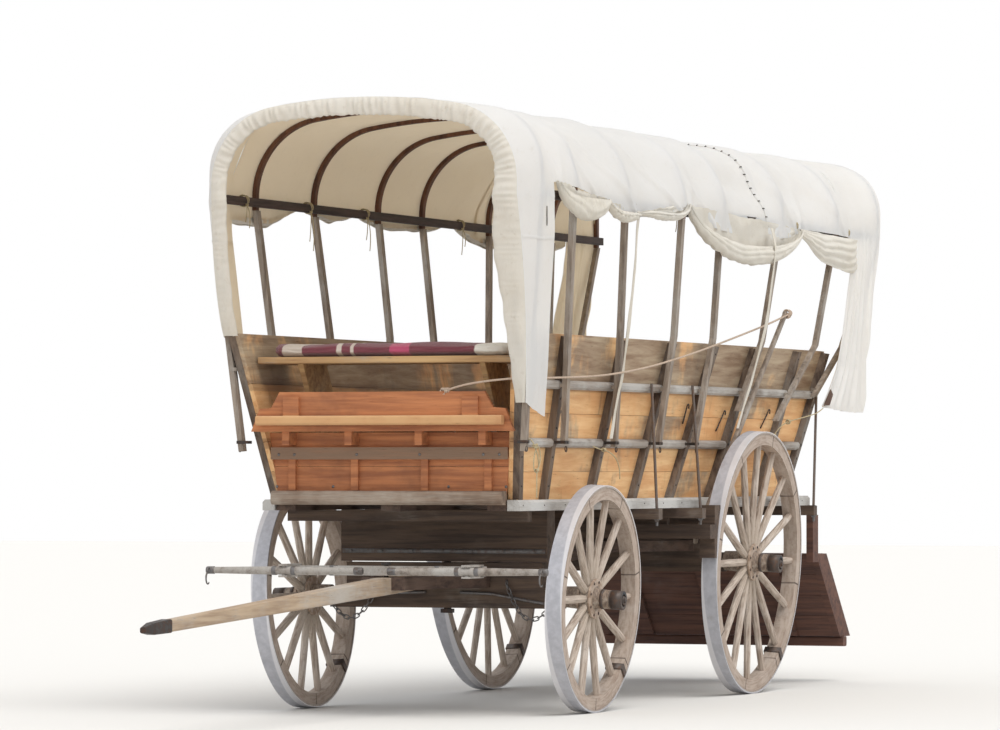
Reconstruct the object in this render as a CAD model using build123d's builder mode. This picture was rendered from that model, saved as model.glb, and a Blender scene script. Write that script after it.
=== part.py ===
from build123d import *
from math import atan2, cos, pi, radians, sin, sqrt, tan
import os

# A covered freight wagon fitted with benches, and with a tongue and draft bars for a pair.
# The frame: +X points forward along the tongue, +Y to the left, +Z up.
# The ground is Z = 0, and the middle of the whole length is X = 0.
# Stations are given in millimetres ahead of the rear axle.

os.makedirs("parts", exist_ok=True)

# Overall lengths, measured from the rear axle
WHEELBASE = 2640
TONGUE_REACH = 3850
TONGUE_TIP = WHEELBASE + TONGUE_REACH
CANVAS_REAR = -2180
REAR_AXLE_X = -(TONGUE_TIP + CANVAS_REAR) / 2


def at(ahead):
    """Give the X of a station that lies this far ahead of the rear axle."""
    return REAR_AXLE_X + ahead


# Wheels
TRACK = 1690
CAMBER = 3.0
TYRE_WIDTH = 92
TYRE_THICK = 14
FELLOE_WIDTH = 84
FELLOE_DEPTH = 62
DISH = 22
SPOKE_WIDE = 46
SPOKE_DEEP = 52
SPOKE_TIP_SCALE = 0.86
FOOT_RING_R = 96
HUB_CORE_R = 58
HUB_FLANGE_R = 107
HUB_FLANGE_THICK = 11
HUB_INNER_LENGTH = 120
HUB_INNER_R = 62
HUB_OUTER_LENGTH = 168
HUB_OUTER_R = 51
HUB_BAND_LENGTH = 66
HUB_BAND_R = 47
HUB_CAP_R = 34
HUB_CAP_RECESS = 12
SPINDLE_R = 24
SPINDLE_CLEAR = 0.1
SEAT_CLEAR = 0.3
REAR_WHEEL = {"radius": 762, "spokes": 16}
FRONT_WHEEL = {"radius": 609.5, "spokes": 14}

# Running gear
AXLE_WIDE = 110
AXLE_TALL = 112
AXLE_HALF = 668
RUB_GAP = 6
BOLSTER_WIDE = 120
BOLSTER_HALF = 600
SAND_BOARD_TOP = 800
REACH_WIDE = 90
REACH_TALL = 75
REACH_FRONT_Z = 714
REACH_REAR_Z = 865
REACH_NOSE = 120
REACH_TAIL = 350
KINGPIN_R = 20
KINGPIN_CLEAR = 0.1
HOUND_WIDE = 70
HOUND_TALL = 70
HOUND_SPREAD = 235
HOUND_REAR = 740
HOUND_FRONT = 910
HOUND_BEND = 90
REAR_HOUND_SPREAD = 460
REAR_HOUND_WIDE = 80
REAR_HOUND_TIP = 1010
REAR_HOUND_SCARF = 180
REAR_HOUND_PACKING = 8
SWAY_BAR_WIDE = 80
SWAY_BAR_TALL = 52
TONGUE_ROOT_AHEAD = 200
TONGUE_TIP_Z = 540
TONGUE_SLOPE = 2.9
TONGUE_WIDE = 100
TONGUE_TALL = 88
TONGUE_TIP_SIZE = 58
TONGUE_IRON = 260

# Draft bars
EVENER_AHEAD = 860
EVENER_HALF = 560
EVENER_WIDE = 78
EVENER_THICK = 50
EVENER_END_WIDE = 52
EVENER_GAP = 9
DRAFT_PIN_R = 12
DRAFT_PIN_CLEAR = 0.1
SINGLETREE_OUT = 520
SINGLETREE_AHEAD = 150
SINGLETREE_HALF = 448
SINGLETREE_R = 22
SINGLETREE_END_R = 17
CLEVIS_THICK = 10

# Bed
LEDGE_TOP = 1143
LEDGE_TALL = 58
LEDGE_INNER = 665
LEDGE_OUTER = 735
LEDGE_FRONT = 3450
LEDGE_CHAMFER = 14
BED_REAR = -1400
CROSS_BEAM_TALL = 58
CROSS_BEAM_WIDE = 62
SILL_WIDE = 110
SILL_INSET = 62
SILL_FRONT = 3440
FLOOR_THICK = 28
FLOOR_CLEAR = 4
# Each cross beam: station ahead of the rear axle, half length
CROSS_BEAMS = [(3190, 690), (1677, 880), (951, 880), (-1097, 870), (-1369, 775)]

# Sides
SIDE_FOOT = 670
SIDE_FLARE = 8.4
SIDE_THICK = 24
SIDE_TOP = 2020
SIDE_FRONT_FOOT = 3390
SIDE_FRONT_TOP = 3670
SIDE_REAR_FOOT = -1040
SIDE_REAR_TOP = -1490
BOARD_GAP = 2
LOW_RAIL_Z = 1447
MID_RAIL_Z = 1755
RIB_WIDE = 52
RIB_THICK = 38
RIB_BELOW_TOP = 10
RAIL_TALL = 46
RAIL_THICK = 42
RAIL_CHAMFER = 13
RAIL_CLEAR = 0.6
# Board seams on the side, as heights of the seams above the ground
BOARD_SEAMS = [1290, 1447, 1600, 1755]
# Each rib: station of its foot, rake in degrees towards the rear
RIBS = [(3360, -18), (2985, 0), (2300, 13), (1620, 20), (1010, 26), (345, 28), (-530, 24), (-1010, 27)]
# Each iron stay: station at its foot, station at its head
STAYS = [(1677, 1640), (951, 960), (-1097, -1290)]
STAY_R = 8
STAY_FOOT_Y = 858
STAY_OFF_RAIL = 3

FLOOR_BOARDS = 16

# Front end: the boards between the sides, and the stepped footboard ahead of them
END_BOARD_X = 3440
END_BOARD_TOP = 1498
END_BOARD_SEAM = 1320
END_BOARD_THICK = 26
END_BOARD_CLEAR = 0.5
END_CLEAT_THICK = 20
END_BATTEN_LOW = 1356
END_BATTEN_HIGH = 1420
END_BATTEN_THICK = 34
FRONT_BEAM_WIDE = 80
FRONT_BEAM_LOW = 1116
FRONT_BEAM_HIGH = 1190
FRONT_BEAM_ROUND = 24
FOOTBOARD_X = 3545
FOOTBOARD_THICK = 26
# Outline of the footboard's left half: half width and height
FOOTBOARD_OUTLINE = [(748, 1503), (700, 1623), (632, 1628), (584, 1712)]
TOE_LEDGE_Z = 1561
TOE_LEDGE_WIDE = 56
TOE_LEDGE_TALL = 50
TOE_LEDGE_HALF = 700
TOE_CLEAT_Y = 510
TOE_CLEAT_WIDE = 90
TOE_CLEAT_TOP = 1686
TOE_CLEAT_THICK = 20
BRACKET_WIDE = 40
BRACKET_TALL = 66
BRACKET_TOP = 1600
BRACKET_STATIONS = (-560, -200, 200, 560)
SEAT_Z = 1900
SEAT_THICK = 36
SEAT_REAR = 3080
SEAT_FRONT = 3500
SEAT_HALF = 740
SEAT_UPRIGHT_Y = 520
SEAT_UPRIGHT_THICK = 30
SEAT_UPRIGHT_WIDE = 310
SEAT_UPRIGHT_BACK = 144
SEAT_UPRIGHT_BEND = 1600
SEAT_UPRIGHT_HEAD_FRONT = 60
SEAT_UPRIGHT_HEAD_REAR = 40
CUSHION_THICK = 70
CUSHION_CORNER_R = 28
CUSHION_EDGE_R = 21
CUSHION_INSET = 35
BENCH_Z = 1645
BENCH_THICK = 34
BENCH_INNER = 390
BENCH_OUTER = 690
BENCH_REAR = -900
BENCH_FRONT = 2760
BENCH_LEGS = 4
BENCH_LEG_IN = 60
BENCH_LEG_SET = 20
BENCH_LEG_WIDE = 190
BENCH_LEG_THICK = 30

# Bows and canopy
LEG_FOOT_Z = 1440
LEG_KNEE_Z = 2050
LEG_TOP_Z = 2700
LEG_FOOT_Y = 805
LEG_TOP_Y = 915
LEG_WIDE = 46
LEG_THICK = 28
CLEAT_TALL = 18
BOW_THICK = 22
BOW_WIDE = 42
BOW_PROUD = 2
ARCH_CROWN_Z = 3240
ARCH_CROWN_SLOPE = 0.082
END_ARCH_R = 320
MIDDLE_ARCH_R = 430
FRONT_ARCH_R = 400
FRONT_DRAWN_IN = 75
CANVAS_THICK = 8
CANVAS_GAP = 0.5
CANVAS_FRONT = 3820
CANVAS_EDGE_Z = 2725
BOW_RAIL_Z = 2740
BOW_RAIL_TALL = 46
BOW_RAIL_THICK = 30
# Each bow: stations of its foot, knee and top, the height of its foot, and the
# height and the thickness of what its cleat seats on, a rail or a rib
BOWS = [
    (3560, 3625, 3655, 1400, 1840, RIB_THICK),
    (2980, 3060, 3130, 1440, MID_RAIL_Z, RAIL_THICK),
    (2210, 2260, 2340, 1425, MID_RAIL_Z, RAIL_THICK),
    (1510, 1395, 1425, 1440, MID_RAIL_Z, RAIL_THICK),
    (905, 735, 765, 1440, MID_RAIL_Z, RAIL_THICK),
    (200, -130, -285, 1640, MID_RAIL_Z, RAIL_THICK),
    (-500, -1130, -1330, 1590, MID_RAIL_Z, RAIL_THICK),
    (-1180, -1650, -2130, 1742, 1790, RIB_THICK),
]
# Each swag of rolled side canvas: side, stations of its two ties, lowest height
SWAGS = [
    (1, 3400, 2683, 2626),
    (1, 2683, 2198, 2631),
    (1, 2198, 1363, 2672),
    (1, 1363, -620, 2480),
    (1, -620, -1600, 2515),
    (-1, 3400, 2490, 2630),
    (-1, 2490, 1690, 2670),
    (-1, 1690, 250, 2650),
    (-1, 250, -900, 2620),
    (-1, -900, -1600, 2640),
]
SWAG_THICK = 70
SWAG_TIE = 12
HEM_WIDE = 100
HEM_THICK = 12
FLAP_THICK = 8
# Outline of the rear flap: station and height
REAR_FLAP = [(-1620, 2520), (-1430, 2150), (-1340, 1910), (-1050, 1685),
             (-1980, 1650), (-2010, 2190), (-2150, 2640)]
REAR_FLAP_TOP = (-2150, -1600)
# Each front flap: side, height of its lower edge, and station of its rear edge there
FRONT_FLAPS = [(1, 1600, 3360), (-1, 1960, 3385)]
FRONT_FLAP_REAR = 3430
FLAP_STRIP = 90
FLAP_LEG_CLEAR = 6
FLAP_CREASE_AHEAD = 36

# Brake
BRAKE_BEAM_WIDE = 80
BRAKE_BEAM_TALL = 80
BRAKE_BEAM_Z = 950
BRAKE_BEAM_BACK = 800
HANGER_WIDE = 44
HANGER_THICK = 40
HANGER_SET = 20
SHOE_TALL = 300
SHOE_GAP = 6
SHOE_DEEP = 100
LEVER_FOOT = (800, 775, 908)
LEVER_HEAD = (-562, 862, 2231)
LEVER_WIDE = 40
LEVER_THICK = 28
LEVER_TAPER = 0.8
LEVER_TAB = (68, 60)
ROPE_R = 6
# The brake rope's route, from the lever's head forward along the left side,
# round the side's front edge and over the footboard: station, Y and height
ROPE_ROUTE = [
    (-556, 879.5, 2219), (-385, 885, 2190), (-212, 889, 2161), (-36, 888, 2132), (140, 885, 2104),
    (314, 882, 2076), (490, 881, 2049), (662, 880, 2023), (836, 880, 1998), (1010, 881, 1973),
    (1183, 880, 1949), (1357, 879, 1926), (1530, 878, 1904), (1703, 878, 1883), (1876, 877, 1864),
    (2050, 875, 1847), (2222, 874, 1832), (2394, 872, 1819), (2566, 870, 1808), (2738, 867, 1800),
    (2905, 863, 1794), (3070, 859, 1789), (3232, 842, 1785), (3390, 824, 1782), (3520, 812, 1779),
    (3592, 811, 1778), (3628, 798, 1777), (3641, 762, 1775), (3632, 700, 1771), (3617, 620, 1764),
    (3600, 530, 1753), (3580, 445, 1739), (3560, 372, 1719),
]

# Rear steps
STEP_TOP = (-1400, 790)
STEP_FOOT = (-1905, 235)
STEP_HALF = 775
STRINGER_THICK = 42
STRINGER_DEEP = 150
STRINGER_TOP = 790
STEP_BOARD_IN = 4
STEP_BEAM_WIDE = 70
STEP_BEAM_TALL = 60
STEP_BEAM_DROP = 20
STEP_BEAM_OVER = 12
STEP_BOARD_THICK = 22
TREAD_THICK = 34
TREAD_HEIGHTS = [400, 595, 790]
TREAD_DEEP = 190
STEP_BOARD_ROWS = 4
STEP_BATTENS = (-470, 0, 470)
STEP_BATTEN_WIDE = 70
STEP_BATTEN_THICK = 20
STEP_POST_DEEP = 102
STEP_POST_FOOT = 740

built = {}


def keep(name, builder):
    """Label a finished piece and write it to its own file."""
    builder.part.label = name
    export_step(builder.part, f"parts/{name}.step")
    built[name] = builder.part


def hub_height(radius):
    """Give the hub height that puts a cambered tyre's lowest edge on the ground."""
    return radius * cos(radians(CAMBER)) + TYRE_WIDTH / 2 * sin(radians(CAMBER))


def wheel_plane(ahead, radius, side):
    """Give the plane at a wheel's centre, its normal pointing out along the spindle."""
    outward = (0, side * cos(radians(CAMBER)), -sin(radians(CAMBER)))
    return Plane(origin=(at(ahead), side * TRACK / 2, hub_height(radius)), x_dir=(1, 0, 0), z_dir=outward)


# The wheels: iron tyre, wooden felloes and spokes, and a flanged hub
SPOKE_SEAT = -DISH
FLANGE_OUT = SPOKE_SEAT + SPOKE_DEEP / 2 + SEAT_CLEAR
FLANGE_IN = SPOKE_SEAT - SPOKE_DEEP / 2 - SEAT_CLEAR
SPINDLE_TIP = FLANGE_OUT + HUB_OUTER_LENGTH - 32


def make_tyre(radius):
    """Make an iron tyre about the Z axis."""
    with BuildPart() as tyre:
        with BuildSketch(Plane.XZ):
            with Locations((radius - TYRE_THICK / 2, 0)):
                Rectangle(TYRE_THICK, TYRE_WIDTH)
        revolve(axis=Axis.Z)
    return tyre.part


def make_wood(radius, spokes):
    """Make the felloe ring, its dished spokes and the ring of their feet."""
    rim = radius - TYRE_THICK - SEAT_CLEAR
    foot = Vector(FOOT_RING_R - 14, 0, SPOKE_SEAT)
    tip = Vector(rim - FELLOE_DEPTH / 2, 0, 0)
    with BuildPart() as spoke:
        with BuildSketch(Plane(origin=foot, x_dir=(0, 1, 0), z_dir=tip - foot)):
            RegularPolygon(SPOKE_WIDE / 2, 8)
        with BuildSketch(Plane(origin=tip, x_dir=(0, 1, 0), z_dir=tip - foot)):
            RegularPolygon(SPOKE_WIDE / 2 * SPOKE_TIP_SCALE, 8)
        loft()
    with BuildPart() as wood:
        with BuildSketch(Plane.XZ):
            with Locations((rim - FELLOE_DEPTH / 2, 0)):
                Rectangle(FELLOE_DEPTH, FELLOE_WIDTH)
            with Locations(((FOOT_RING_R + HUB_CORE_R + SEAT_CLEAR) / 2, SPOKE_SEAT)):
                Rectangle(FOOT_RING_R - HUB_CORE_R - SEAT_CLEAR, SPOKE_DEEP)
        revolve(axis=Axis.Z)
        with PolarLocations(0, spokes):
            add(spoke.part)
    return wood.part


def make_hub():
    """Make the turned hub with two flanges that clamp the spokes, about the Z axis."""
    bore = SPINDLE_R + SPINDLE_CLEAR
    tip = FLANGE_OUT + HUB_OUTER_LENGTH
    with BuildPart() as hub:
        with BuildSketch(Plane.XZ):
            Polygon(
                (bore, FLANGE_IN - HUB_INNER_LENGTH),
                (HUB_INNER_R * 0.9, FLANGE_IN - HUB_INNER_LENGTH),
                (HUB_INNER_R, FLANGE_IN - HUB_FLANGE_THICK),
                (HUB_FLANGE_R, FLANGE_IN - HUB_FLANGE_THICK),
                (HUB_FLANGE_R, FLANGE_IN),
                (HUB_CORE_R, FLANGE_IN),
                (HUB_CORE_R, FLANGE_OUT),
                (HUB_FLANGE_R, FLANGE_OUT),
                (HUB_FLANGE_R, FLANGE_OUT + HUB_FLANGE_THICK),
                (HUB_OUTER_R + 8, FLANGE_OUT + HUB_FLANGE_THICK),
                (HUB_OUTER_R, FLANGE_OUT + HUB_FLANGE_THICK + 22),
                (HUB_OUTER_R, tip - HUB_BAND_LENGTH),
                (HUB_BAND_R, tip - HUB_BAND_LENGTH),
                (HUB_BAND_R, tip),
                (HUB_CAP_R, tip),
                (HUB_CAP_R, tip - HUB_CAP_RECESS),
                (0, tip - HUB_CAP_RECESS),
                (0, SPINDLE_TIP + 2),
                (bore, SPINDLE_TIP + 2),
                align=None,
            )
        revolve(axis=Axis.Z)
    return hub.part


WHEELS = [("rear", 0, REAR_WHEEL), ("front", WHEELBASE, FRONT_WHEEL)]
for end, ahead, size in WHEELS:
    pieces = {
        "tyre": make_tyre(size["radius"]),
        "spokes": make_wood(size["radius"], size["spokes"]),
        "hub": make_hub(),
    }
    for word, side in (("left", 1), ("right", -1)):
        for kind, piece in pieces.items():
            with BuildPart(wheel_plane(ahead, size["radius"], side)) as placed:
                add(piece)
            keep(f"{kind}_{end}_{word}", placed)

REAR_HUB_Z = hub_height(REAR_WHEEL["radius"])
FRONT_HUB_Z = hub_height(FRONT_WHEEL["radius"])
KING_X = at(WHEELBASE)


def box(x0, x1, y0, y1, z0, z1):
    """Add one squared timber between two corners."""
    with Locations(((x0 + x1) / 2, (y0 + y1) / 2, (z0 + z1) / 2)):
        Box(abs(x1 - x0), abs(y1 - y0), abs(z1 - z0))


def axle(name, ahead, radius, king_hole):
    """Make a timber axle with an iron spindle drooping into each hub."""
    z = hub_height(radius)
    with BuildPart() as beam:
        box(at(ahead) - AXLE_WIDE / 2, at(ahead) + AXLE_WIDE / 2, -AXLE_HALF, AXLE_HALF,
            z - AXLE_TALL / 2, z + AXLE_TALL / 2)
        for side in (1, -1):
            plane = wheel_plane(ahead, radius, side)
            shoulder = AXLE_HALF - 40 - TRACK / 2
            with BuildSketch(plane.offset(shoulder)):
                Circle(SPINDLE_R)
            extrude(amount=SPINDLE_TIP - shoulder)
        if king_hole:
            with Locations(Location((at(ahead), 0, z))):
                Hole(KINGPIN_R + KINGPIN_CLEAR, depth=AXLE_TALL)
    keep(name, beam)


axle("rear_axle", 0, REAR_WHEEL["radius"], False)
axle("front_axle", WHEELBASE, FRONT_WHEEL["radius"], True)

# The reach joins the rear axle to the kingpin
REACH_SLOPE = (REACH_REAR_Z - REACH_FRONT_Z) / WHEELBASE


def reach_z(ahead):
    """Give the height of the reach's centre at a station."""
    return REACH_REAR_Z - REACH_SLOPE * ahead


REACH_ENDS = (-REACH_TAIL, WHEELBASE + REACH_NOSE)
with BuildPart() as reach:
    with BuildSketch(Plane.XZ.offset(-REACH_WIDE / 2)):
        with BuildLine():
            Polyline(
                (at(REACH_ENDS[0]), reach_z(REACH_ENDS[0]) - REACH_TALL / 2),
                (at(REACH_ENDS[1]), reach_z(REACH_ENDS[1]) - REACH_TALL / 2),
                (at(REACH_ENDS[1]), reach_z(REACH_ENDS[1]) + REACH_TALL / 2),
                (at(REACH_ENDS[0]), reach_z(REACH_ENDS[0]) + REACH_TALL / 2),
                close=True,
            )
        make_face()
    extrude(amount=REACH_WIDE)
    with Locations(Location((KING_X, 0, reach_z(WHEELBASE)))):
        Hole(KINGPIN_R + SEAT_CLEAR, depth=REACH_TALL)
keep("reach", reach)

# The rear bolster stands on the rear axle and is notched over the reach
BED_UNDER = LEDGE_TOP - LEDGE_TALL
REAR_AXLE_TOP = REAR_HUB_Z + AXLE_TALL / 2
REAR_NOTCH_TOP = reach_z(-BOLSTER_WIDE / 2) + REACH_TALL / 2 + SEAT_CLEAR
with BuildPart() as rear_bolster:
    with BuildSketch(Plane.YZ.offset(at(0) - BOLSTER_WIDE / 2)):
        with Locations((0, (REAR_AXLE_TOP + BED_UNDER) / 2)):
            Rectangle(2 * BOLSTER_HALF, BED_UNDER - REAR_AXLE_TOP)
        with Locations((0, (REAR_AXLE_TOP + REAR_NOTCH_TOP) / 2)):
            Rectangle(REACH_WIDE + 1, REAR_NOTCH_TOP - REAR_AXLE_TOP, mode=Mode.SUBTRACT)
    extrude(amount=BOLSTER_WIDE)
keep("rear_bolster", rear_bolster)

# Rear hounds brace the bolster to the reach
with BuildPart() as rear_hounds:
    for side in (1, -1):
        with BuildSketch(Plane.XY.offset(REAR_AXLE_TOP + REAR_HOUND_PACKING)):
            with BuildLine():
                Polyline(
                    (at(BOLSTER_WIDE / 2), side * (REAR_HOUND_SPREAD - REAR_HOUND_WIDE / 2)),
                    (at(BOLSTER_WIDE / 2), side * (REAR_HOUND_SPREAD + REAR_HOUND_WIDE / 2)),
                    (at(REAR_HOUND_TIP), side * REACH_WIDE / 2),
                    (at(REAR_HOUND_TIP - REAR_HOUND_SCARF), side * REACH_WIDE / 2),
                    close=True,
                )
            make_face()
        extrude(amount=HOUND_TALL - REAR_HOUND_PACKING)
keep("rear_hounds", rear_hounds)

# The front bolster carries the bed and turns on the sand board below it
BOLSTER_FOOT = SAND_BOARD_TOP + RUB_GAP
KINGPIN_TOP = BOLSTER_FOOT + 90
with BuildPart() as front_bolster:
    box(KING_X - BOLSTER_WIDE / 2, KING_X + BOLSTER_WIDE / 2, -BOLSTER_HALF, BOLSTER_HALF,
        BOLSTER_FOOT, BED_UNDER)
    with BuildSketch(Plane.XY.offset(BOLSTER_FOOT)):
        with Locations((KING_X, 0)):
            Circle(KINGPIN_R + SEAT_CLEAR)
    extrude(amount=KINGPIN_TOP - BOLSTER_FOOT, mode=Mode.SUBTRACT)
keep("front_bolster", front_bolster)

FRONT_AXLE_FOOT = FRONT_HUB_Z - AXLE_TALL / 2
FRONT_AXLE_TOP = FRONT_HUB_Z + AXLE_TALL / 2
with BuildPart() as kingpin:
    with BuildSketch(Plane.XY.offset(FRONT_AXLE_FOOT - RUB_GAP)):
        with Locations((KING_X, 0)):
            Circle(KINGPIN_R)
    extrude(amount=KINGPIN_TOP - SEAT_CLEAR - FRONT_AXLE_FOOT + RUB_GAP)
    with BuildSketch(Plane.XY.offset(FRONT_AXLE_FOOT - RUB_GAP - 22)):
        with Locations((KING_X, 0)):
            RegularPolygon(38, 6)
    extrude(amount=22)
keep("kingpin", kingpin)

# The sand board is notched over the hounds and over the reach
HOUND_INNER = HOUND_SPREAD - HOUND_WIDE / 2
HOUND_OUTER = HOUND_SPREAD + HOUND_WIDE / 2
with BuildPart() as sand_board:
    with BuildSketch(Plane.YZ.offset(KING_X - AXLE_WIDE / 2)):
        with Locations((0, (FRONT_AXLE_TOP + SAND_BOARD_TOP) / 2)):
            Rectangle(2 * BOLSTER_HALF - 60, SAND_BOARD_TOP - FRONT_AXLE_TOP)
        reach_notch = reach_z(WHEELBASE - AXLE_WIDE / 2) + REACH_TALL / 2 + RUB_GAP - FRONT_AXLE_TOP
        with Locations((0, FRONT_AXLE_TOP + reach_notch / 2)):
            Rectangle(REACH_WIDE + 52, reach_notch, mode=Mode.SUBTRACT)
        with Locations((HOUND_SPREAD, FRONT_AXLE_TOP + HOUND_TALL / 2), (-HOUND_SPREAD, FRONT_AXLE_TOP + HOUND_TALL / 2)):
            Rectangle(HOUND_WIDE + 1, HOUND_TALL + 1, mode=Mode.SUBTRACT)
    extrude(amount=AXLE_WIDE)
    with Locations(Location((KING_X, 0, SAND_BOARD_TOP))):
        Hole(KINGPIN_R + KINGPIN_CLEAR, depth=SAND_BOARD_TOP - FRONT_AXLE_TOP)
keep("sand_board", sand_board)

# Front hounds: two bent timbers that hold the tongue's root, and the sway bar behind
JAW = TONGUE_WIDE / 2 + SEAT_CLEAR
SWAY_X = at(WHEELBASE - HOUND_REAR)
with BuildPart() as front_hounds:
    for side in (1, -1):
        with BuildSketch(Plane.XY.offset(FRONT_AXLE_TOP)):
            with BuildLine():
                Polyline(
                    (at(WHEELBASE - HOUND_REAR), side * HOUND_INNER),
                    (at(WHEELBASE + HOUND_BEND), side * HOUND_INNER),
                    (at(WHEELBASE + HOUND_BEND + 330), side * JAW),
                    (at(WHEELBASE + HOUND_FRONT), side * JAW),
                    (at(WHEELBASE + HOUND_FRONT), side * (JAW + HOUND_WIDE)),
                    (at(WHEELBASE + HOUND_BEND + 360), side * (JAW + HOUND_WIDE)),
                    (at(WHEELBASE + HOUND_BEND + 20), side * HOUND_OUTER),
                    (at(WHEELBASE - HOUND_REAR), side * HOUND_OUTER),
                    close=True,
                )
            make_face()
        extrude(amount=HOUND_TALL)
    sway_top = reach_z(WHEELBASE - HOUND_REAR + SWAY_BAR_WIDE) - REACH_TALL / 2 - RUB_GAP
    box(SWAY_X, SWAY_X + SWAY_BAR_WIDE, -HOUND_OUTER - 60, HOUND_OUTER + 60,
        sway_top - SWAY_BAR_TALL, sway_top)
keep("front_hounds", front_hounds)


# The tongue tapers from the hounds to its iron tip
def tongue_z(ahead):
    """Give the height of the tongue's centre line at a station."""
    return TONGUE_TIP_Z + tan(radians(TONGUE_SLOPE)) * (TONGUE_TIP - ahead)


TONGUE_ROOT = WHEELBASE + TONGUE_ROOT_AHEAD
TONGUE_IRON_AT = TONGUE_TIP - TONGUE_IRON
PARALLEL_TO = WHEELBASE + HOUND_FRONT + 60
EVENER_STATION = WHEELBASE + EVENER_AHEAD
EVENER_X = at(EVENER_STATION)
with BuildPart() as tongue:
    for start, end, wide0, tall0, wide1, tall1 in (
        (TONGUE_ROOT, PARALLEL_TO, TONGUE_WIDE, TONGUE_TALL, TONGUE_WIDE, TONGUE_TALL),
        (PARALLEL_TO, TONGUE_IRON_AT, TONGUE_WIDE, TONGUE_TALL, TONGUE_TIP_SIZE, TONGUE_TIP_SIZE),
    ):
        with BuildSketch(Plane(origin=(at(start), 0, tongue_z(start)), x_dir=(0, 1, 0), z_dir=(1, 0, 0))):
            RectangleRounded(wide0, tall0, 8)
        with BuildSketch(Plane(origin=(at(end), 0, tongue_z(end)), x_dir=(0, 1, 0), z_dir=(1, 0, 0))):
            RectangleRounded(wide1, tall1, 8)
        loft()
    with BuildSketch(Plane.XY.offset(tongue_z(EVENER_STATION) - TONGUE_TALL)):
        with Locations((EVENER_X, 0)):
            Circle(DRAFT_PIN_R + SEAT_CLEAR)
    extrude(amount=2 * TONGUE_TALL, mode=Mode.SUBTRACT)
keep("tongue", tongue)

# The tip: an iron socket with a nose and an eye for the neck yoke
with BuildPart() as tongue_cap:
    socket = TONGUE_IRON - 90
    nose = TONGUE_IRON_AT + socket
    for start, end, size0, size1 in (
        (TONGUE_IRON_AT, nose, TONGUE_TIP_SIZE + 8, TONGUE_TIP_SIZE),
        (nose, TONGUE_TIP, TONGUE_TIP_SIZE, 30),
    ):
        with BuildSketch(Plane(origin=(at(start), 0, tongue_z(start)), x_dir=(0, 1, 0), z_dir=(1, 0, 0))):
            RectangleRounded(size0, size0, 10)
        with BuildSketch(Plane(origin=(at(end), 0, tongue_z(end)), x_dir=(0, 1, 0), z_dir=(1, 0, 0))):
            RectangleRounded(size1, size1, 10)
        loft()
keep("tongue_cap", tongue_cap)

# The evener turns on a pin through the tongue
EVENER_FOOT = tongue_z(EVENER_STATION) + TONGUE_TALL / 2 + EVENER_GAP
EVENER_TOP = EVENER_FOOT + EVENER_THICK
PIN_X = EVENER_X + SINGLETREE_AHEAD
with BuildPart() as draft_pin:
    with BuildSketch(Plane.XY.offset(tongue_z(EVENER_STATION) - TONGUE_TALL / 2)):
        with Locations((EVENER_X, 0)):
            Circle(DRAFT_PIN_R)
    extrude(amount=EVENER_TOP + 8 - tongue_z(EVENER_STATION) + TONGUE_TALL / 2)
    with BuildSketch(Plane.XY.offset(EVENER_TOP + 6)):
        with Locations((EVENER_X, 0)):
            Circle(26)
    extrude(amount=12)
keep("draft_pin", draft_pin)

with BuildPart() as evener:
    with BuildSketch(Plane.XY.offset(EVENER_FOOT)):
        with BuildLine():
            Polyline(
                (EVENER_X - EVENER_END_WIDE / 2, -EVENER_HALF),
                (EVENER_X + EVENER_END_WIDE / 2, -EVENER_HALF),
                (EVENER_X + EVENER_WIDE / 2, 0),
                (EVENER_X + EVENER_END_WIDE / 2, EVENER_HALF),
                (EVENER_X - EVENER_END_WIDE / 2, EVENER_HALF),
                (EVENER_X - EVENER_WIDE / 2, 0),
                close=True,
            )
        make_face()
        with Locations((EVENER_X, 0)):
            Circle(DRAFT_PIN_R + DRAFT_PIN_CLEAR, mode=Mode.SUBTRACT)
    extrude(amount=EVENER_THICK)
    for side in (1, -1):
        for z in (EVENER_FOOT - CLEVIS_THICK, EVENER_TOP):
            box(EVENER_X - EVENER_END_WIDE / 2, PIN_X + 24, side * SINGLETREE_OUT - 24, side * SINGLETREE_OUT + 24,
                z, z + CLEVIS_THICK)
        with BuildSketch(Plane.XY.offset(EVENER_FOOT)):
            with Locations((PIN_X, side * SINGLETREE_OUT)):
                Circle(DRAFT_PIN_R)
        extrude(amount=EVENER_THICK)
keep("evener", evener)

# Each singletree is a round bar, thick at its middle, on the clevis pin
SINGLETREE_Z = (EVENER_FOOT + EVENER_TOP) / 2
for word, side in (("left", 1), ("right", -1)):
    centre = side * SINGLETREE_OUT
    with BuildPart() as singletree:
        with BuildSketch(Plane(origin=(PIN_X, centre, SINGLETREE_Z), x_dir=(0, 1, 0), z_dir=(0, 0, 1))):
            with BuildLine():
                Polyline(
                    (-SINGLETREE_HALF, 0),
                    (-SINGLETREE_HALF, SINGLETREE_END_R),
                    (-SINGLETREE_HALF * 0.9, SINGLETREE_END_R),
                    (-60, SINGLETREE_R),
                    (60, SINGLETREE_R),
                    (SINGLETREE_HALF * 0.9, SINGLETREE_END_R),
                    (SINGLETREE_HALF, SINGLETREE_END_R),
                    (SINGLETREE_HALF, 0),
                    close=True,
                )
            make_face()
        revolve(axis=Axis((PIN_X, centre, SINGLETREE_Z), (0, 1, 0)))
        with BuildSketch(Plane.XY.offset(SINGLETREE_Z - 60)):
            with Locations((PIN_X, centre)):
                Circle(DRAFT_PIN_R + DRAFT_PIN_CLEAR)
        extrude(amount=120, mode=Mode.SUBTRACT)
    keep(f"singletree_{word}", singletree)

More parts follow.
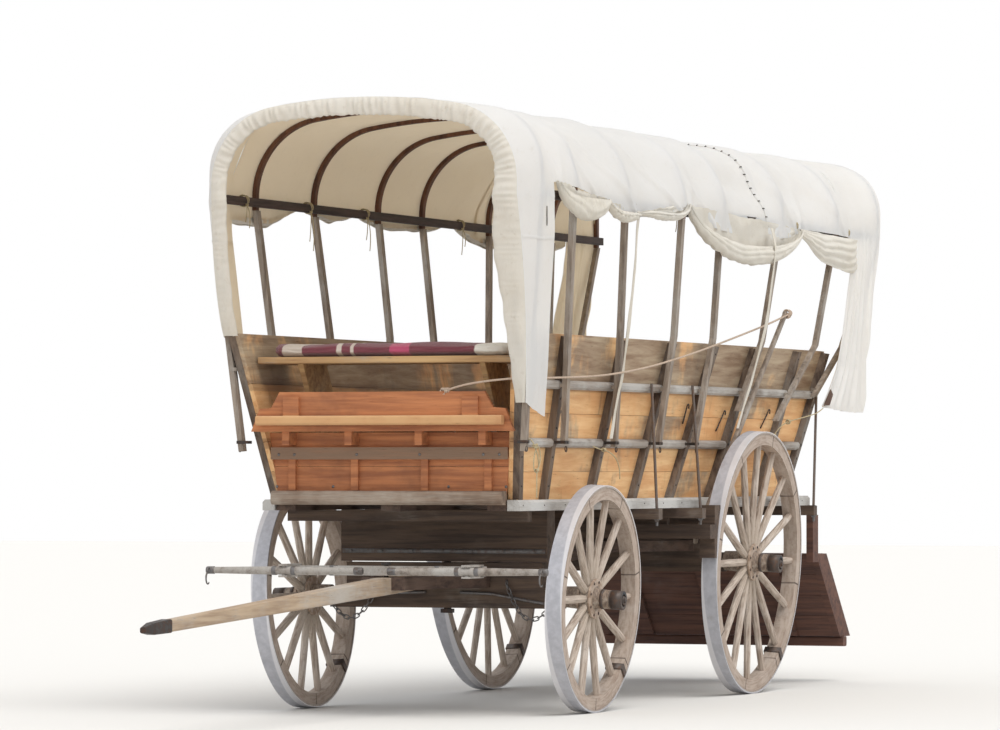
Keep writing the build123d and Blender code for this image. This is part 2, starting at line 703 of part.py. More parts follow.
# The bed: ledges under the sides, sills, cross beams and a floor of planks laid across
with BuildPart() as ledges:
    for side in (1, -1):
        with BuildSketch(Plane.YZ.offset(at(BED_REAR))):
            with BuildLine():
                Polyline(
                    (side * LEDGE_INNER, BED_UNDER),
                    (side * LEDGE_OUTER, BED_UNDER),
                    (side * LEDGE_OUTER, LEDGE_TOP - LEDGE_CHAMFER),
                    (side * (LEDGE_OUTER - LEDGE_CHAMFER), LEDGE_TOP),
                    (side * LEDGE_INNER, LEDGE_TOP),
                    close=True,
                )
            make_face()
        extrude(amount=LEDGE_FRONT - BED_REAR)
keep("ledges", ledges)

SIDE_SILL_Y = LEDGE_INNER - SILL_INSET
with BuildPart() as sills:
    for y in (-SIDE_SILL_Y, 0, SIDE_SILL_Y):
        box(at(BED_REAR), at(SILL_FRONT), y - SILL_WIDE / 2, y + SILL_WIDE / 2, BED_UNDER, LEDGE_TOP)
keep("sills", sills)

CROSS_BEAM_UNDER = BED_UNDER - CROSS_BEAM_TALL
with BuildPart() as cross_beams:
    for ahead, half in CROSS_BEAMS:
        box(at(ahead) - CROSS_BEAM_WIDE / 2, at(ahead) + CROSS_BEAM_WIDE / 2, -half, half,
            CROSS_BEAM_UNDER, BED_UNDER)
keep("cross_beams", cross_beams)

FLOOR_HALF = SIDE_FOOT - SIDE_THICK - FLOOR_CLEAR
FLOOR_TOP = LEDGE_TOP + FLOOR_THICK
END_BOARD_BACK = END_BOARD_X - END_BOARD_THICK
FLOOR_FRONT = END_BOARD_BACK - BOARD_GAP
with BuildPart() as floor:
    plank = (FLOOR_FRONT - BED_REAR) / FLOOR_BOARDS
    for number in range(FLOOR_BOARDS):
        rear = BED_REAR + number * plank
        box(at(rear), at(rear + plank - BOARD_GAP), -FLOOR_HALF, FLOOR_HALF, LEDGE_TOP, FLOOR_TOP)
keep("floor", floor)

# The sides: each is drawn on its own flared plane and then mirrored
FLARE_COS = cos(radians(SIDE_FLARE))
FLARE_TAN = tan(radians(SIDE_FLARE))
SIDE_PLANE = Plane(origin=(0, SIDE_FOOT, LEDGE_TOP), x_dir=(-1, 0, 0),
                   z_dir=(0, FLARE_COS, -sin(radians(SIDE_FLARE))))


def up(z):
    """Turn a height above the ground into a distance up the flared side."""
    return (z - LEDGE_TOP) / FLARE_COS


def side_station(foot, top, z):
    """Give the station of a raked edge at a height."""
    return foot + (top - foot) * (z - LEDGE_TOP) / (SIDE_TOP - LEDGE_TOP)


def side_outer(z, thickness=0.0):
    """Give the Y of the left side's outer face, or of a piece this thick on it."""
    return SIDE_FOOT + FLARE_TAN * (z - LEDGE_TOP) + thickness / FLARE_COS


def outline(points):
    """Draw a closed outline from stations and heights on the side's plane."""
    Polygon(*[(-at(ahead), up(z)) for ahead, z in points], align=None)


seams = [LEDGE_TOP - BOARD_GAP / 2] + BOARD_SEAMS + [SIDE_TOP]
with BuildPart() as side_boards:
    for low, high in zip(seams[:-1], seams[1:]):
        low_edge = low + BOARD_GAP / 2
        high_edge = high - BOARD_GAP / 2
        with BuildSketch(SIDE_PLANE.offset(-SIDE_THICK)):
            outline([
                (side_station(SIDE_FRONT_FOOT, SIDE_FRONT_TOP, low_edge), low_edge),
                (side_station(SIDE_FRONT_FOOT, SIDE_FRONT_TOP, high_edge), high_edge),
                (side_station(SIDE_REAR_FOOT, SIDE_REAR_TOP, high_edge), high_edge),
                (side_station(SIDE_REAR_FOOT, SIDE_REAR_TOP, low_edge), low_edge),
            ])
        extrude(amount=SIDE_THICK)
    mirror(about=Plane.XZ)
keep("side_boards", side_boards)


def rib_station(foot, rake, z):
    """Give the station of a rib's centre line at a height."""
    return foot - tan(radians(rake)) * (z - LEDGE_TOP)


RIB_FOOT_Z = LEDGE_TOP + RIB_THICK * sin(radians(SIDE_FLARE)) + SEAT_CLEAR
RIB_TOP_Z = SIDE_TOP - RIB_BELOW_TOP
with BuildPart() as side_ribs:
    for foot, rake in RIBS:
        half = RIB_WIDE / 2 / cos(radians(rake))
        with BuildSketch(SIDE_PLANE):
            outline([
                (rib_station(foot, rake, RIB_FOOT_Z) + half, RIB_FOOT_Z),
                (rib_station(foot, rake, RIB_TOP_Z) + half, RIB_TOP_Z),
                (rib_station(foot, rake, RIB_TOP_Z) - half, RIB_TOP_Z),
                (rib_station(foot, rake, RIB_FOOT_Z) - half, RIB_FOOT_Z),
            ])
        extrude(amount=RIB_THICK)
    mirror(about=Plane.XZ)
keep("side_ribs", side_ribs)

# Rails run from rib to rib, a rounded bar in each bay
with BuildPart() as side_rails:
    for z in (LOW_RAIL_Z, MID_RAIL_Z):
        for (foot0, rake0), (foot1, rake1) in zip(RIBS[:-1], RIBS[1:]):
            front = rib_station(foot0, rake0, z) - RIB_WIDE / 2 / cos(radians(rake0)) - RAIL_CLEAR
            back = rib_station(foot1, rake1, z) + RIB_WIDE / 2 / cos(radians(rake1)) + RAIL_CLEAR
            lean0 = tan(radians(rake0)) * RAIL_TALL / 2
            lean1 = tan(radians(rake1)) * RAIL_TALL / 2
            with BuildSketch(SIDE_PLANE):
                outline([
                    (front + lean0, z - RAIL_TALL / 2),
                    (front - lean0, z + RAIL_TALL / 2),
                    (back - lean1, z + RAIL_TALL / 2),
                    (back + lean1, z - RAIL_TALL / 2),
                ])
            extrude(amount=RAIL_THICK)
    outer = side_rails.edges().filter_by(Axis.X).filter_by(
        lambda edge: (edge.center() - SIDE_PLANE.origin).dot(SIDE_PLANE.z_dir) > RAIL_THICK / 2)
    chamfer(outer, RAIL_CHAMFER)
    mirror(about=Plane.XZ)
keep("side_rails", side_rails)

# Iron stays brace the mid rail from the ends of the long cross beams
with BuildPart() as stays:
    for side in (1, -1):
        for foot, head in STAYS:
            head_y = side_outer(MID_RAIL_Z, RAIL_THICK) + STAY_R + STAY_OFF_RAIL
            foot_point = Vector(at(foot), side * STAY_FOOT_Y, BED_UNDER)
            head_point = Vector(at(head), side * head_y, MID_RAIL_Z + RAIL_TALL / 2)
            along = (head_point - foot_point).normalized()
            foot_point.Z += STAY_R * sqrt(1 - along.Z ** 2) + SEAT_CLEAR
            with BuildSketch(Plane(origin=foot_point, z_dir=along)):
                Circle(STAY_R)
            extrude(amount=(head_point - foot_point).length)
keep("stays", stays)


# The front end boards, with a batten across and a beam at the floor's front edge
def end_half(z):
    """Give the half width that fits between the side boards at a height."""
    return side_outer(z, -SIDE_THICK) - END_BOARD_CLEAR


with BuildPart() as end_boards:
    for low, high in ((LEDGE_TOP, END_BOARD_SEAM - BOARD_GAP), (END_BOARD_SEAM, END_BOARD_TOP)):
        with BuildSketch(Plane.YZ.offset(at(END_BOARD_X) - END_BOARD_THICK)):
            Polygon(
                (-end_half(low), low), (end_half(low), low), (end_half(high), high), (-end_half(high), high),
                align=None,
            )
        extrude(amount=END_BOARD_THICK)
    box(at(END_BOARD_X), at(END_BOARD_X) + END_BATTEN_THICK, -end_half(END_BATTEN_LOW), end_half(END_BATTEN_LOW),
        END_BATTEN_LOW, END_BATTEN_HIGH)
    for y in BRACKET_STATIONS:
        box(at(END_BOARD_X), at(END_BOARD_X) + END_CLEAT_THICK, y - BRACKET_WIDE / 2, y + BRACKET_WIDE / 2,
            FRONT_BEAM_HIGH + BOARD_GAP, END_BATTEN_LOW)
keep("end_boards", end_boards)

with BuildPart() as front_beam:
    box(at(END_BOARD_X), at(END_BOARD_X) + FRONT_BEAM_WIDE, -SIDE_SILL_Y - SILL_WIDE / 2, SIDE_SILL_Y + SILL_WIDE / 2,
        FRONT_BEAM_LOW, FRONT_BEAM_HIGH)
    fillet(front_beam.edges().filter_by(Axis.Y).group_by(Axis.X)[-1], FRONT_BEAM_ROUND)
keep("front_beam", front_beam)

# The footboard: a stepped board with a rounded toe ledge, on brackets from the end boards
with BuildPart() as footboard:
    with BuildSketch(Plane.YZ.offset(at(FOOTBOARD_X))):
        right_half = [(-y, z) for y, z in reversed(FOOTBOARD_OUTLINE)]
        Polygon(*FOOTBOARD_OUTLINE, *right_half, align=None)
    extrude(amount=FOOTBOARD_THICK)
    toe_x = at(FOOTBOARD_X) + FOOTBOARD_THICK
    with BuildSketch(Plane.XZ.offset(-TOE_LEDGE_HALF)):
        with Locations((toe_x + TOE_LEDGE_WIDE / 2, TOE_LEDGE_Z)):
            RectangleRounded(TOE_LEDGE_WIDE, TOE_LEDGE_TALL, TOE_LEDGE_TALL * 0.3)
    extrude(amount=2 * TOE_LEDGE_HALF)
    for side in (1, -1):
        box(toe_x, toe_x + TOE_CLEAT_THICK, side * (TOE_CLEAT_Y - TOE_CLEAT_WIDE / 2),
            side * (TOE_CLEAT_Y + TOE_CLEAT_WIDE / 2), TOE_LEDGE_Z + TOE_LEDGE_TALL / 2, TOE_CLEAT_TOP)
    for y in BRACKET_STATIONS:
        box(at(END_BOARD_X), at(FOOTBOARD_X), y - BRACKET_WIDE / 2, y + BRACKET_WIDE / 2,
            END_BOARD_TOP - BRACKET_TALL, END_BOARD_TOP)
        box(at(FOOTBOARD_X) - END_BATTEN_THICK, at(FOOTBOARD_X), y - BRACKET_WIDE / 2, y + BRACKET_WIDE / 2,
            END_BOARD_TOP, BRACKET_TOP)
keep("footboard", footboard)

# The front seat: a plank on two upright boards, with a folded blanket cushion
SEAT_UNDER = SEAT_Z - SEAT_THICK
UPRIGHT_FRONT = END_BOARD_BACK - SEAT_UPRIGHT_BACK
UPRIGHT_REAR = UPRIGHT_FRONT - SEAT_UPRIGHT_WIDE
with BuildPart() as seat_plank:
    box(at(SEAT_REAR), at(SEAT_FRONT), -SEAT_HALF, SEAT_HALF, SEAT_UNDER, SEAT_Z)
    fillet(seat_plank.edges().filter_by(Axis.Y), SEAT_THICK * 0.22)
keep("seat_plank", seat_plank)

with BuildPart() as seat_uprights:
    for y in (SEAT_UPRIGHT_Y, -SEAT_UPRIGHT_Y):
        with BuildSketch(Plane.XZ.offset(-y - SEAT_UPRIGHT_THICK / 2)):
            Polygon(
                (at(UPRIGHT_REAR), FLOOR_TOP), (at(UPRIGHT_FRONT), FLOOR_TOP),
                (at(UPRIGHT_FRONT), SEAT_UPRIGHT_BEND), (at(SEAT_FRONT - SEAT_UPRIGHT_HEAD_FRONT), SEAT_UNDER),
                (at(SEAT_REAR + SEAT_UPRIGHT_HEAD_REAR), SEAT_UNDER), (at(UPRIGHT_REAR), SEAT_UPRIGHT_BEND),
                align=None,
            )
        extrude(amount=SEAT_UPRIGHT_THICK)
keep("seat_uprights", seat_uprights)

with BuildPart() as seat_cushion:
    box(at(SEAT_REAR), at(SEAT_FRONT), -SEAT_HALF + CUSHION_INSET, SEAT_HALF - CUSHION_INSET, SEAT_Z + SEAT_CLEAR,
        SEAT_Z + CUSHION_THICK)
    fillet(seat_cushion.edges().filter_by(Axis.Z), CUSHION_CORNER_R)
    fillet(seat_cushion.faces().sort_by(Axis.Z)[-1].edges(), CUSHION_EDGE_R)
keep("seat_cushion", seat_cushion)

# Benches along both sides
BENCH_UNDER = BENCH_Z - BENCH_THICK
with BuildPart() as benches:
    for side in (1, -1):
        box(at(BENCH_REAR), at(BENCH_FRONT), side * BENCH_INNER, side * BENCH_OUTER, BENCH_UNDER, BENCH_Z)
        for number in range(BENCH_LEGS):
            station = BENCH_REAR + BENCH_LEG_IN + number * (BENCH_FRONT - BENCH_REAR - 2 * BENCH_LEG_IN) / (BENCH_LEGS - 1)
            box(at(station) - BENCH_LEG_THICK / 2, at(station) + BENCH_LEG_THICK / 2,
                side * (BENCH_INNER + BENCH_LEG_SET), side * (BENCH_INNER + BENCH_LEG_SET + BENCH_LEG_WIDE),
                FLOOR_TOP, BENCH_UNDER)
keep("benches", benches)

# Bow legs: flat staves outside the boards, raked below the knee and upright above
LEG_LEAN = atan2(LEG_TOP_Y - LEG_FOOT_Y, LEG_TOP_Z - LEG_FOOT_Z)
LEG_COS = cos(LEG_LEAN)
LEG_PLANE = Plane(origin=(0, LEG_FOOT_Y - LEG_THICK / 2, LEG_FOOT_Z), x_dir=(-1, 0, 0),
                  z_dir=(0, LEG_COS, -sin(LEG_LEAN)))


def leg_face(z, thickness=0.0):
    """Give the Y of the left legs' inner face, or of one this far out from it."""
    return LEG_FOOT_Y - LEG_THICK / 2 + tan(LEG_LEAN) * (z - LEG_FOOT_Z) + thickness / LEG_COS


def leg_station(foot, knee, foot_z, z):
    """Give the station of a leg's centre line at a height below its knee."""
    return foot + (knee - foot) * (z - foot_z) / (LEG_KNEE_Z - foot_z)


with BuildPart() as bow_legs:
    for foot, knee, top, foot_z, cleat_z, seat_thick in BOWS:
        corners = [
            (foot + LEG_WIDE / 2, foot_z), (knee + LEG_WIDE / 2, LEG_KNEE_Z), (top + LEG_WIDE / 2, LEG_TOP_Z),
            (top - LEG_WIDE / 2, LEG_TOP_Z), (knee - LEG_WIDE / 2, LEG_KNEE_Z), (foot - LEG_WIDE / 2, foot_z),
        ]
        with BuildSketch(LEG_PLANE):
            Polygon(*[(-at(ahead), (z - LEG_FOOT_Z) / LEG_COS) for ahead, z in corners], align=None)
        extrude(amount=LEG_THICK)
        middle = cleat_z - seat_thick * sin(radians(SIDE_FLARE))
        centre = leg_station(foot, knee, foot_z, middle)
        box(at(centre) - LEG_WIDE / 2, at(centre) + LEG_WIDE / 2,
            side_outer(middle + CLEAT_TALL / 2, seat_thick) + SEAT_CLEAR, leg_face(middle, LEG_THICK / 2),
            middle - CLEAT_TALL / 2, middle + CLEAT_TALL / 2)
    mirror(about=Plane.XZ)
keep("bow_legs", bow_legs)

# The arch of a bow: upright sides, round corners and a long flat crown.
# The end bows have tight corners, and the ones between them rounder ones.
BOW_HALF = leg_face(LEG_TOP_Z, LEG_THICK) + BOW_PROUD
RAIL_FACE = BOW_HALF - BOW_THICK
HOOP_FOOT_Z = LEG_TOP_Z - tan(LEG_LEAN) * (RAIL_FACE - leg_face(LEG_TOP_Z)) + SEAT_CLEAR


def arch_edge(half, corner, crown, foot_z):
    """Draw one closed arch: two round corners that meet a flat crown arc."""
    run = half - corner
    rise = run * ARCH_CROWN_SLOPE
    spring = crown - corner - rise
    turn = radians(90) - 2 * atan2(rise, run)
    knee = (run + corner * cos(turn), spring + corner * sin(turn))
    middle = (run + corner * cos(turn / 2), spring + corner * sin(turn / 2))
    Line((half, foot_z), (half, spring))
    ThreePointArc((half, spring), middle, knee)
    ThreePointArc(knee, (0, crown), (-knee[0], knee[1]))
    ThreePointArc((-knee[0], knee[1]), (-middle[0], middle[1]), (-half, spring))
    Line((-half, spring), (-half, foot_z))
    Line((-half, foot_z), (half, foot_z))


def arch_radius(bow):
    """Give the corner radius of a bow."""
    return END_ARCH_R if bow in (BOWS[0], BOWS[-1]) else MIDDLE_ARCH_R


with BuildPart() as bow_hoops:
    for bow in BOWS:
        with BuildSketch(Plane.YZ.offset(at(bow[2]) - BOW_WIDE / 2)):
            for grow, mode in ((0, Mode.ADD), (-BOW_THICK, Mode.SUBTRACT)):
                with BuildLine():
                    arch_edge(BOW_HALF + grow, arch_radius(bow) + grow, ARCH_CROWN_Z + grow, HOOP_FOOT_Z)
                make_face(mode=mode)
        extrude(amount=BOW_WIDE)
keep("bow_hoops", bow_hoops)

# Long rails inside the bows
with BuildPart() as bow_rails:
    for side in (1, -1):
        box(at(BOWS[-1][2]) - BOW_WIDE / 2, at(BOWS[0][2]) + BOW_WIDE / 2,
            side * (RAIL_FACE - BOW_RAIL_THICK), side * RAIL_FACE,
            BOW_RAIL_Z - BOW_RAIL_TALL / 2, BOW_RAIL_Z + BOW_RAIL_TALL / 2)
keep("bow_rails", bow_rails)

# The canopy: one sheet over the bows, rounder in the middle than over the end bows.
# Its front is drawn in like a bonnet, with a gathered hem that faces forward.
CANVAS_GROW = CANVAS_GAP + CANVAS_THICK
CANVAS_HALF = BOW_HALF + CANVAS_GROW
HEM_REAR = CANVAS_FRONT - HEM_THICK
FRONT_HALF = BOW_HALF - FRONT_DRAWN_IN
BOW_REST = BOW_WIDE / 2 + SWAG_TIE
# Each section of the canopy, from the rear: station, half width and corner radius
CANVAS_SECTIONS = [
    (CANVAS_REAR, BOW_HALF, END_ARCH_R),
    (BOWS[-1][2] + BOW_REST, BOW_HALF, END_ARCH_R),
    (BOWS[-2][2] - BOW_REST, BOW_HALF, MIDDLE_ARCH_R),
    (BOWS[1][2] + BOW_REST, BOW_HALF, MIDDLE_ARCH_R),
    (BOWS[0][2] - BOW_REST, BOW_HALF, END_ARCH_R),
    (BOWS[0][2] + BOW_REST, BOW_HALF, END_ARCH_R),
    (HEM_REAR, FRONT_HALF, FRONT_ARCH_R),
]
with BuildPart() as canopy_roof:
    for grow, mode in ((CANVAS_GROW, Mode.ADD), (CANVAS_GAP, Mode.SUBTRACT)):
        for station, half, radius in CANVAS_SECTIONS:
            with BuildSketch(Plane.YZ.offset(at(station))):
                with BuildLine():
                    arch_edge(half + grow, radius + grow, ARCH_CROWN_Z + grow, CANVAS_EDGE_Z)
                make_face()
        loft(ruled=True, mode=mode)
keep("canopy_roof", canopy_roof)

with BuildPart() as front_hem:
    with BuildSketch(Plane.YZ.offset(at(HEM_REAR))):
        for grow, mode in ((CANVAS_GROW, Mode.ADD), (CANVAS_GROW - HEM_WIDE, Mode.SUBTRACT)):
            with BuildLine():
                arch_edge(FRONT_HALF + grow, FRONT_ARCH_R + grow, ARCH_CROWN_Z + grow, CANVAS_EDGE_Z)
            make_face(mode=mode)
    extrude(amount=HEM_THICK)
keep("front_hem", front_hem)

# Front flaps hang beside the seat, the left one longer than the right. Each lies against the
# front bow's leg, turns in ahead of it and ends in a strip that faces forward.
FLAP_TOP = CANVAS_EDGE_Z - SEAT_CLEAR
FLAP_BEND = HOOP_FOOT_Z - FLAP_THICK
FRONT_BOW = BOWS[0]


def flap_plan(side, low, rear_low, z):
    """Draw a front flap's section at a height: along the leg, in to the front crease, and the strip."""
    share = (z - low) / (FLAP_TOP - low)
    knee_share = max(0, (z - LEG_KNEE_Z) / (LEG_TOP_Z - LEG_KNEE_Z))
    leg_x = leg_station(FRONT_BOW[0], FRONT_BOW[1], FRONT_BOW[3], min(z, LEG_KNEE_Z))
    leg_x += knee_share * (FRONT_BOW[2] - FRONT_BOW[1])
    foot_bend = leg_station(FRONT_BOW[0], FRONT_BOW[1], FRONT_BOW[3], low) + LEG_WIDE / 2 + FLAP_LEG_CLEAR
    foot_crease = foot_bend + FLAP_CREASE_AHEAD
    outer = CANVAS_HALF - max(0, FLAP_BEND - z) * tan(LEG_LEAN)
    rear = rear_low + share * (FRONT_FLAP_REAR - rear_low)
    bend = leg_x + LEG_WIDE / 2 + FLAP_LEG_CLEAR
    crease = foot_crease + share * (CANVAS_FRONT - foot_crease)
    crease_y = outer - FLAP_THICK - share * (outer - FLAP_THICK - FRONT_HALF - CANVAS_GROW)
    corners = [
        (rear, outer), (bend, outer), (crease, crease_y), (crease, crease_y - FLAP_STRIP),
        (crease - FLAP_THICK, crease_y - FLAP_STRIP), (crease - FLAP_THICK, crease_y - FLAP_THICK),
        (bend, outer - FLAP_THICK), (rear, outer - FLAP_THICK),
    ]
    Polygon(*[(at(ahead), side * y) for ahead, y in corners], align=None)


with BuildPart() as front_flaps:
    for side, low, rear_low in FRONT_FLAPS:
        for z in (low, LEG_KNEE_Z, FLAP_BEND, FLAP_TOP):
            with BuildSketch(Plane.XY.offset(z)):
                flap_plan(side, low, rear_low, z)
        loft(ruled=True)
keep("front_flaps", front_flaps)

with BuildPart() as rear_flaps:
    flap_rear, flap_front = REAR_FLAP_TOP
    corners = [(flap_front, FLAP_TOP)] + REAR_FLAP + [(flap_rear, FLAP_TOP)]
    with BuildSketch(Plane(origin=(0, CANVAS_HALF, 0), x_dir=(-1, 0, 0), z_dir=(0, 1, 0))):
        Polygon(*[(-at(ahead), z) for ahead, z in corners], align=None)
    extrude(amount=-FLAP_THICK)
    mirror(about=Plane.XZ)
keep("rear_flaps", rear_flaps)

# Rolled side canvas: a swag hangs between each pair of ties
with BuildPart() as swags:
    for side, front, back, low in SWAGS:
        middle = (front + back) / 2
        half = (front - back) / 2 - SWAG_TIE
        with BuildSketch(Plane.XZ.offset(-side * (BOW_HALF + SEAT_CLEAR))):
            with BuildLine():
                Line((at(middle + half), FLAP_TOP), (at(middle - half), FLAP_TOP))
                ThreePointArc((at(middle - half), FLAP_TOP), (at(middle), low), (at(middle + half), FLAP_TOP))
            make_face()
        extrude(amount=-side * SWAG_THICK)
keep("swags", swags)

# Brake: a beam hung ahead of the rear wheels, a shoe at each tyre and a long lever
BEAM_BACK = at(BRAKE_BEAM_BACK)
BEAM_LOW = BRAKE_BEAM_Z - BRAKE_BEAM_TALL / 2
BEAM_HIGH = BRAKE_BEAM_Z + BRAKE_BEAM_TALL / 2
WHEEL_OUT = TRACK / 2 + TYRE_WIDTH / 2
with BuildPart() as brake_beam:
    box(BEAM_BACK, BEAM_BACK + BRAKE_BEAM_WIDE, -WHEEL_OUT, WHEEL_OUT, BEAM_LOW, BEAM_HIGH)
    for side in (1, -1):
        box(BEAM_BACK + HANGER_SET, BEAM_BACK + HANGER_SET + HANGER_THICK,
            side * SIDE_SILL_Y - HANGER_WIDE / 2, side * SIDE_SILL_Y + HANGER_WIDE / 2, BEAM_HIGH, BED_UNDER)
keep("brake_beam", brake_beam)

with BuildPart() as brake_shoes:
    for side in (1, -1):
        with BuildSketch(Plane.XZ.offset(-side * TRACK / 2 - TYRE_WIDTH / 2)):
            with Locations((BEAM_BACK - SHOE_DEEP / 2, BRAKE_BEAM_Z)):
                Rectangle(SHOE_DEEP, SHOE_TALL)
            with Locations((at(0), REAR_HUB_Z)):
                Circle(REAR_WHEEL["radius"] + SHOE_GAP, mode=Mode.SUBTRACT)
        extrude(amount=TYRE_WIDTH)
keep("brake_shoes", brake_shoes)

with BuildPart() as brake_lever:
    foot_point = Vector(at(LEVER_FOOT[0]), LEVER_FOOT[1], LEVER_FOOT[2])
    head_point = Vector(at(LEVER_HEAD[0]), LEVER_HEAD[1], LEVER_HEAD[2])
    along = (head_point - foot_point).normalized()
    sideways = Vector(0, 1, 0) - along * along.Y
    with BuildSketch(Plane(origin=foot_point - along * LEVER_WIDE, x_dir=sideways, z_dir=along)):
        RectangleRounded(LEVER_THICK, LEVER_WIDE, LEVER_THICK * 0.28)
    with BuildSketch(Plane(origin=head_point, x_dir=sideways, z_dir=along)):
        RectangleRounded(LEVER_THICK * LEVER_TAPER, LEVER_WIDE * LEVER_TAPER, LEVER_THICK * 0.25)
    loft()
    box(BEAM_BACK - LEVER_TAB[0], BEAM_BACK, LEVER_FOOT[1] - LEVER_THICK / 2, LEVER_FOOT[1] + LEVER_THICK / 2,
        BRAKE_BEAM_Z - LEVER_TAB[1] / 2, BRAKE_BEAM_Z + LEVER_TAB[1] / 2)
    split(bisect_by=Plane.YZ.offset(BEAM_BACK), keep=Keep.BOTTOM)
keep("brake_lever", brake_lever)

# The brake rope: straight runs joined by tangent arcs, each as large as its runs allow
route = [Vector(at(ahead), y, z) for ahead, y, z in ROPE_ROUTE]
arcs = []
for before, here, after in zip(route[:-2], route[1:-1], route[2:]):
    run = min((here - before).length, (after - here).length)
    turn = radians((here - before).get_angle(after - here))
    arcs.append(0.45 * run / tan(turn / 2))
print("rope arcs", [round(radius) for radius in arcs])
with BuildPart() as brake_rope:
    with BuildLine() as rope_line:
        FilletPolyline(*route, radius=arcs)
    with BuildSketch(Plane(origin=route[0], z_dir=route[1] - route[0])):
        Circle(ROPE_R)
    sweep()
print("rope length", round(rope_line.wire().length), "volume / section",
      round(brake_rope.part.volume / (pi * ROPE_R ** 2)))
keep("brake_rope", brake_rope)

# Rear steps: stringers on a foot beam, closed underside boards and treads
SLOPE = (STEP_FOOT[0] - STEP_TOP[0]) / (STEP_FOOT[1] - STEP_TOP[1])
SLOPE_TURN = atan2(STEP_TOP[1] - STEP_FOOT[1], STEP_TOP[0] - STEP_FOOT[0])
STEP_INNER = STEP_HALF - STRINGER_THICK
FOOT_TOP = STEP_FOOT[1] + STEP_BEAM_TALL - STEP_BEAM_DROP


def stair_x(z, behind=0.0):
    """Give the X, at a height, of a line this far behind the stair's underside."""
    return at(STEP_TOP[0] + SLOPE * (z - STEP_TOP[1])) - behind / sin(SLOPE_TURN)


def stair_slice(low, high, near, far):
    """Draw a level-ended slice of the stair between two depths behind its underside."""
    Polygon(
        (stair_x(low, near), low), (stair_x(high, near), high), (stair_x(high, far), high), (stair_x(low, far), low),
        align=None,
    )


with BuildPart() as step_stringers:
    for inner in (STEP_INNER, -STEP_HALF):
        with BuildSketch(Plane.XZ.offset(-inner - STRINGER_THICK)):
            stair_slice(FOOT_TOP, STRINGER_TOP, 0, STRINGER_DEEP)
        extrude(amount=STRINGER_THICK)
        rear = at(CROSS_BEAMS[-1][0]) + CROSS_BEAM_WIDE / 2 - STEP_POST_DEEP
        box(rear, rear + STEP_POST_DEEP, inner, inner + STRINGER_THICK, STEP_POST_FOOT, CROSS_BEAM_UNDER)
    with BuildSketch(Plane.XZ.offset(-STEP_HALF - STEP_BEAM_OVER)):
        with Locations((stair_x(FOOT_TOP, STRINGER_DEEP * 0.3), FOOT_TOP - STEP_BEAM_TALL / 2)):
            RectangleRounded(STEP_BEAM_WIDE, STEP_BEAM_TALL, STEP_BEAM_TALL * 0.25)
    extrude(amount=2 * (STEP_HALF + STEP_BEAM_OVER))
keep("step_stringers", step_stringers)

BOARD_BACK = STEP_BOARD_IN + STEP_BOARD_THICK
with BuildPart() as step_boards:
    row = (STRINGER_TOP - FOOT_TOP) / STEP_BOARD_ROWS
    half = STEP_INNER - SEAT_CLEAR
    for number in range(STEP_BOARD_ROWS):
        low = FOOT_TOP + number * row + BOARD_GAP
        with BuildSketch(Plane.XZ.offset(-half)):
            stair_slice(low, low + row - BOARD_GAP, STEP_BOARD_IN, BOARD_BACK)
        extrude(amount=2 * half)
    for y in STEP_BATTENS:
        with BuildSketch(Plane.XZ.offset(-y - STEP_BATTEN_WIDE / 2)):
            stair_slice(FOOT_TOP + BOARD_GAP, STRINGER_TOP, STEP_BOARD_IN - STEP_BATTEN_THICK, STEP_BOARD_IN)
        extrude(amount=STEP_BATTEN_WIDE)
keep("step_boards", step_boards)

with BuildPart() as step_treads:
    for height in TREAD_HEIGHTS:
        front = stair_x(height - TREAD_THICK, BOARD_BACK) - SEAT_CLEAR
        box(front - TREAD_DEEP, front, -half, half, height - TREAD_THICK, height)
keep("step_treads", step_treads)
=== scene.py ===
# %% [markdown]
# # A covered wagon, dressed round its frame
# The frame holds every timber and iron of the wagon at its real size. This script gives each of them
# its finish, and makes the cloth, the rope and the small ironwork. Everything is in metres:
# +X forward along the tongue, +Y to the left, +Z up, with the ground at zero.

# %% The frame
import math

import bpy
import numpy as np
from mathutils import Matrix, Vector


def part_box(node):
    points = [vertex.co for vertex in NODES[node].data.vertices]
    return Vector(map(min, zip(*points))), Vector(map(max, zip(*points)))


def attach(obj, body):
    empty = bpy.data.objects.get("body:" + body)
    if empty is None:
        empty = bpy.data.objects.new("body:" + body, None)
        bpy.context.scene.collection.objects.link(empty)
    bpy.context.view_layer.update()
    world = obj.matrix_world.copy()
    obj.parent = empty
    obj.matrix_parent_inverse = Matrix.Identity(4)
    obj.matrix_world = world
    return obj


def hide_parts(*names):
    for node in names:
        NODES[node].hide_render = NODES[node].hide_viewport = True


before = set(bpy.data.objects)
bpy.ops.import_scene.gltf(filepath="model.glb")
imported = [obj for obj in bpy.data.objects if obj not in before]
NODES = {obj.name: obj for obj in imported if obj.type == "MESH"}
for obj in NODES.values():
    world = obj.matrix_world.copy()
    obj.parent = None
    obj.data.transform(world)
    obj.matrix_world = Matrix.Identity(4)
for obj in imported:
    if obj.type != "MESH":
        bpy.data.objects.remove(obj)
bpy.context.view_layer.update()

scene = bpy.context.scene

# %% [markdown]
# Every place is counted from the rear axle, as a wagon maker does. The axle's place is read from
# the frame: it is the middle of the rear tyre. So are the heights that other pieces hang from.

# %% Stations and main lines
def middle(node):
    """Give the middle of a frame node's box."""
    low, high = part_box(node)
    return (low + high) / 2


REAR_AXLE = middle("tyre_rear_left").x
GROUND = 0.0


def at(ahead):
    """Give the X of a station this far ahead of the rear axle."""
    return REAR_AXLE + ahead


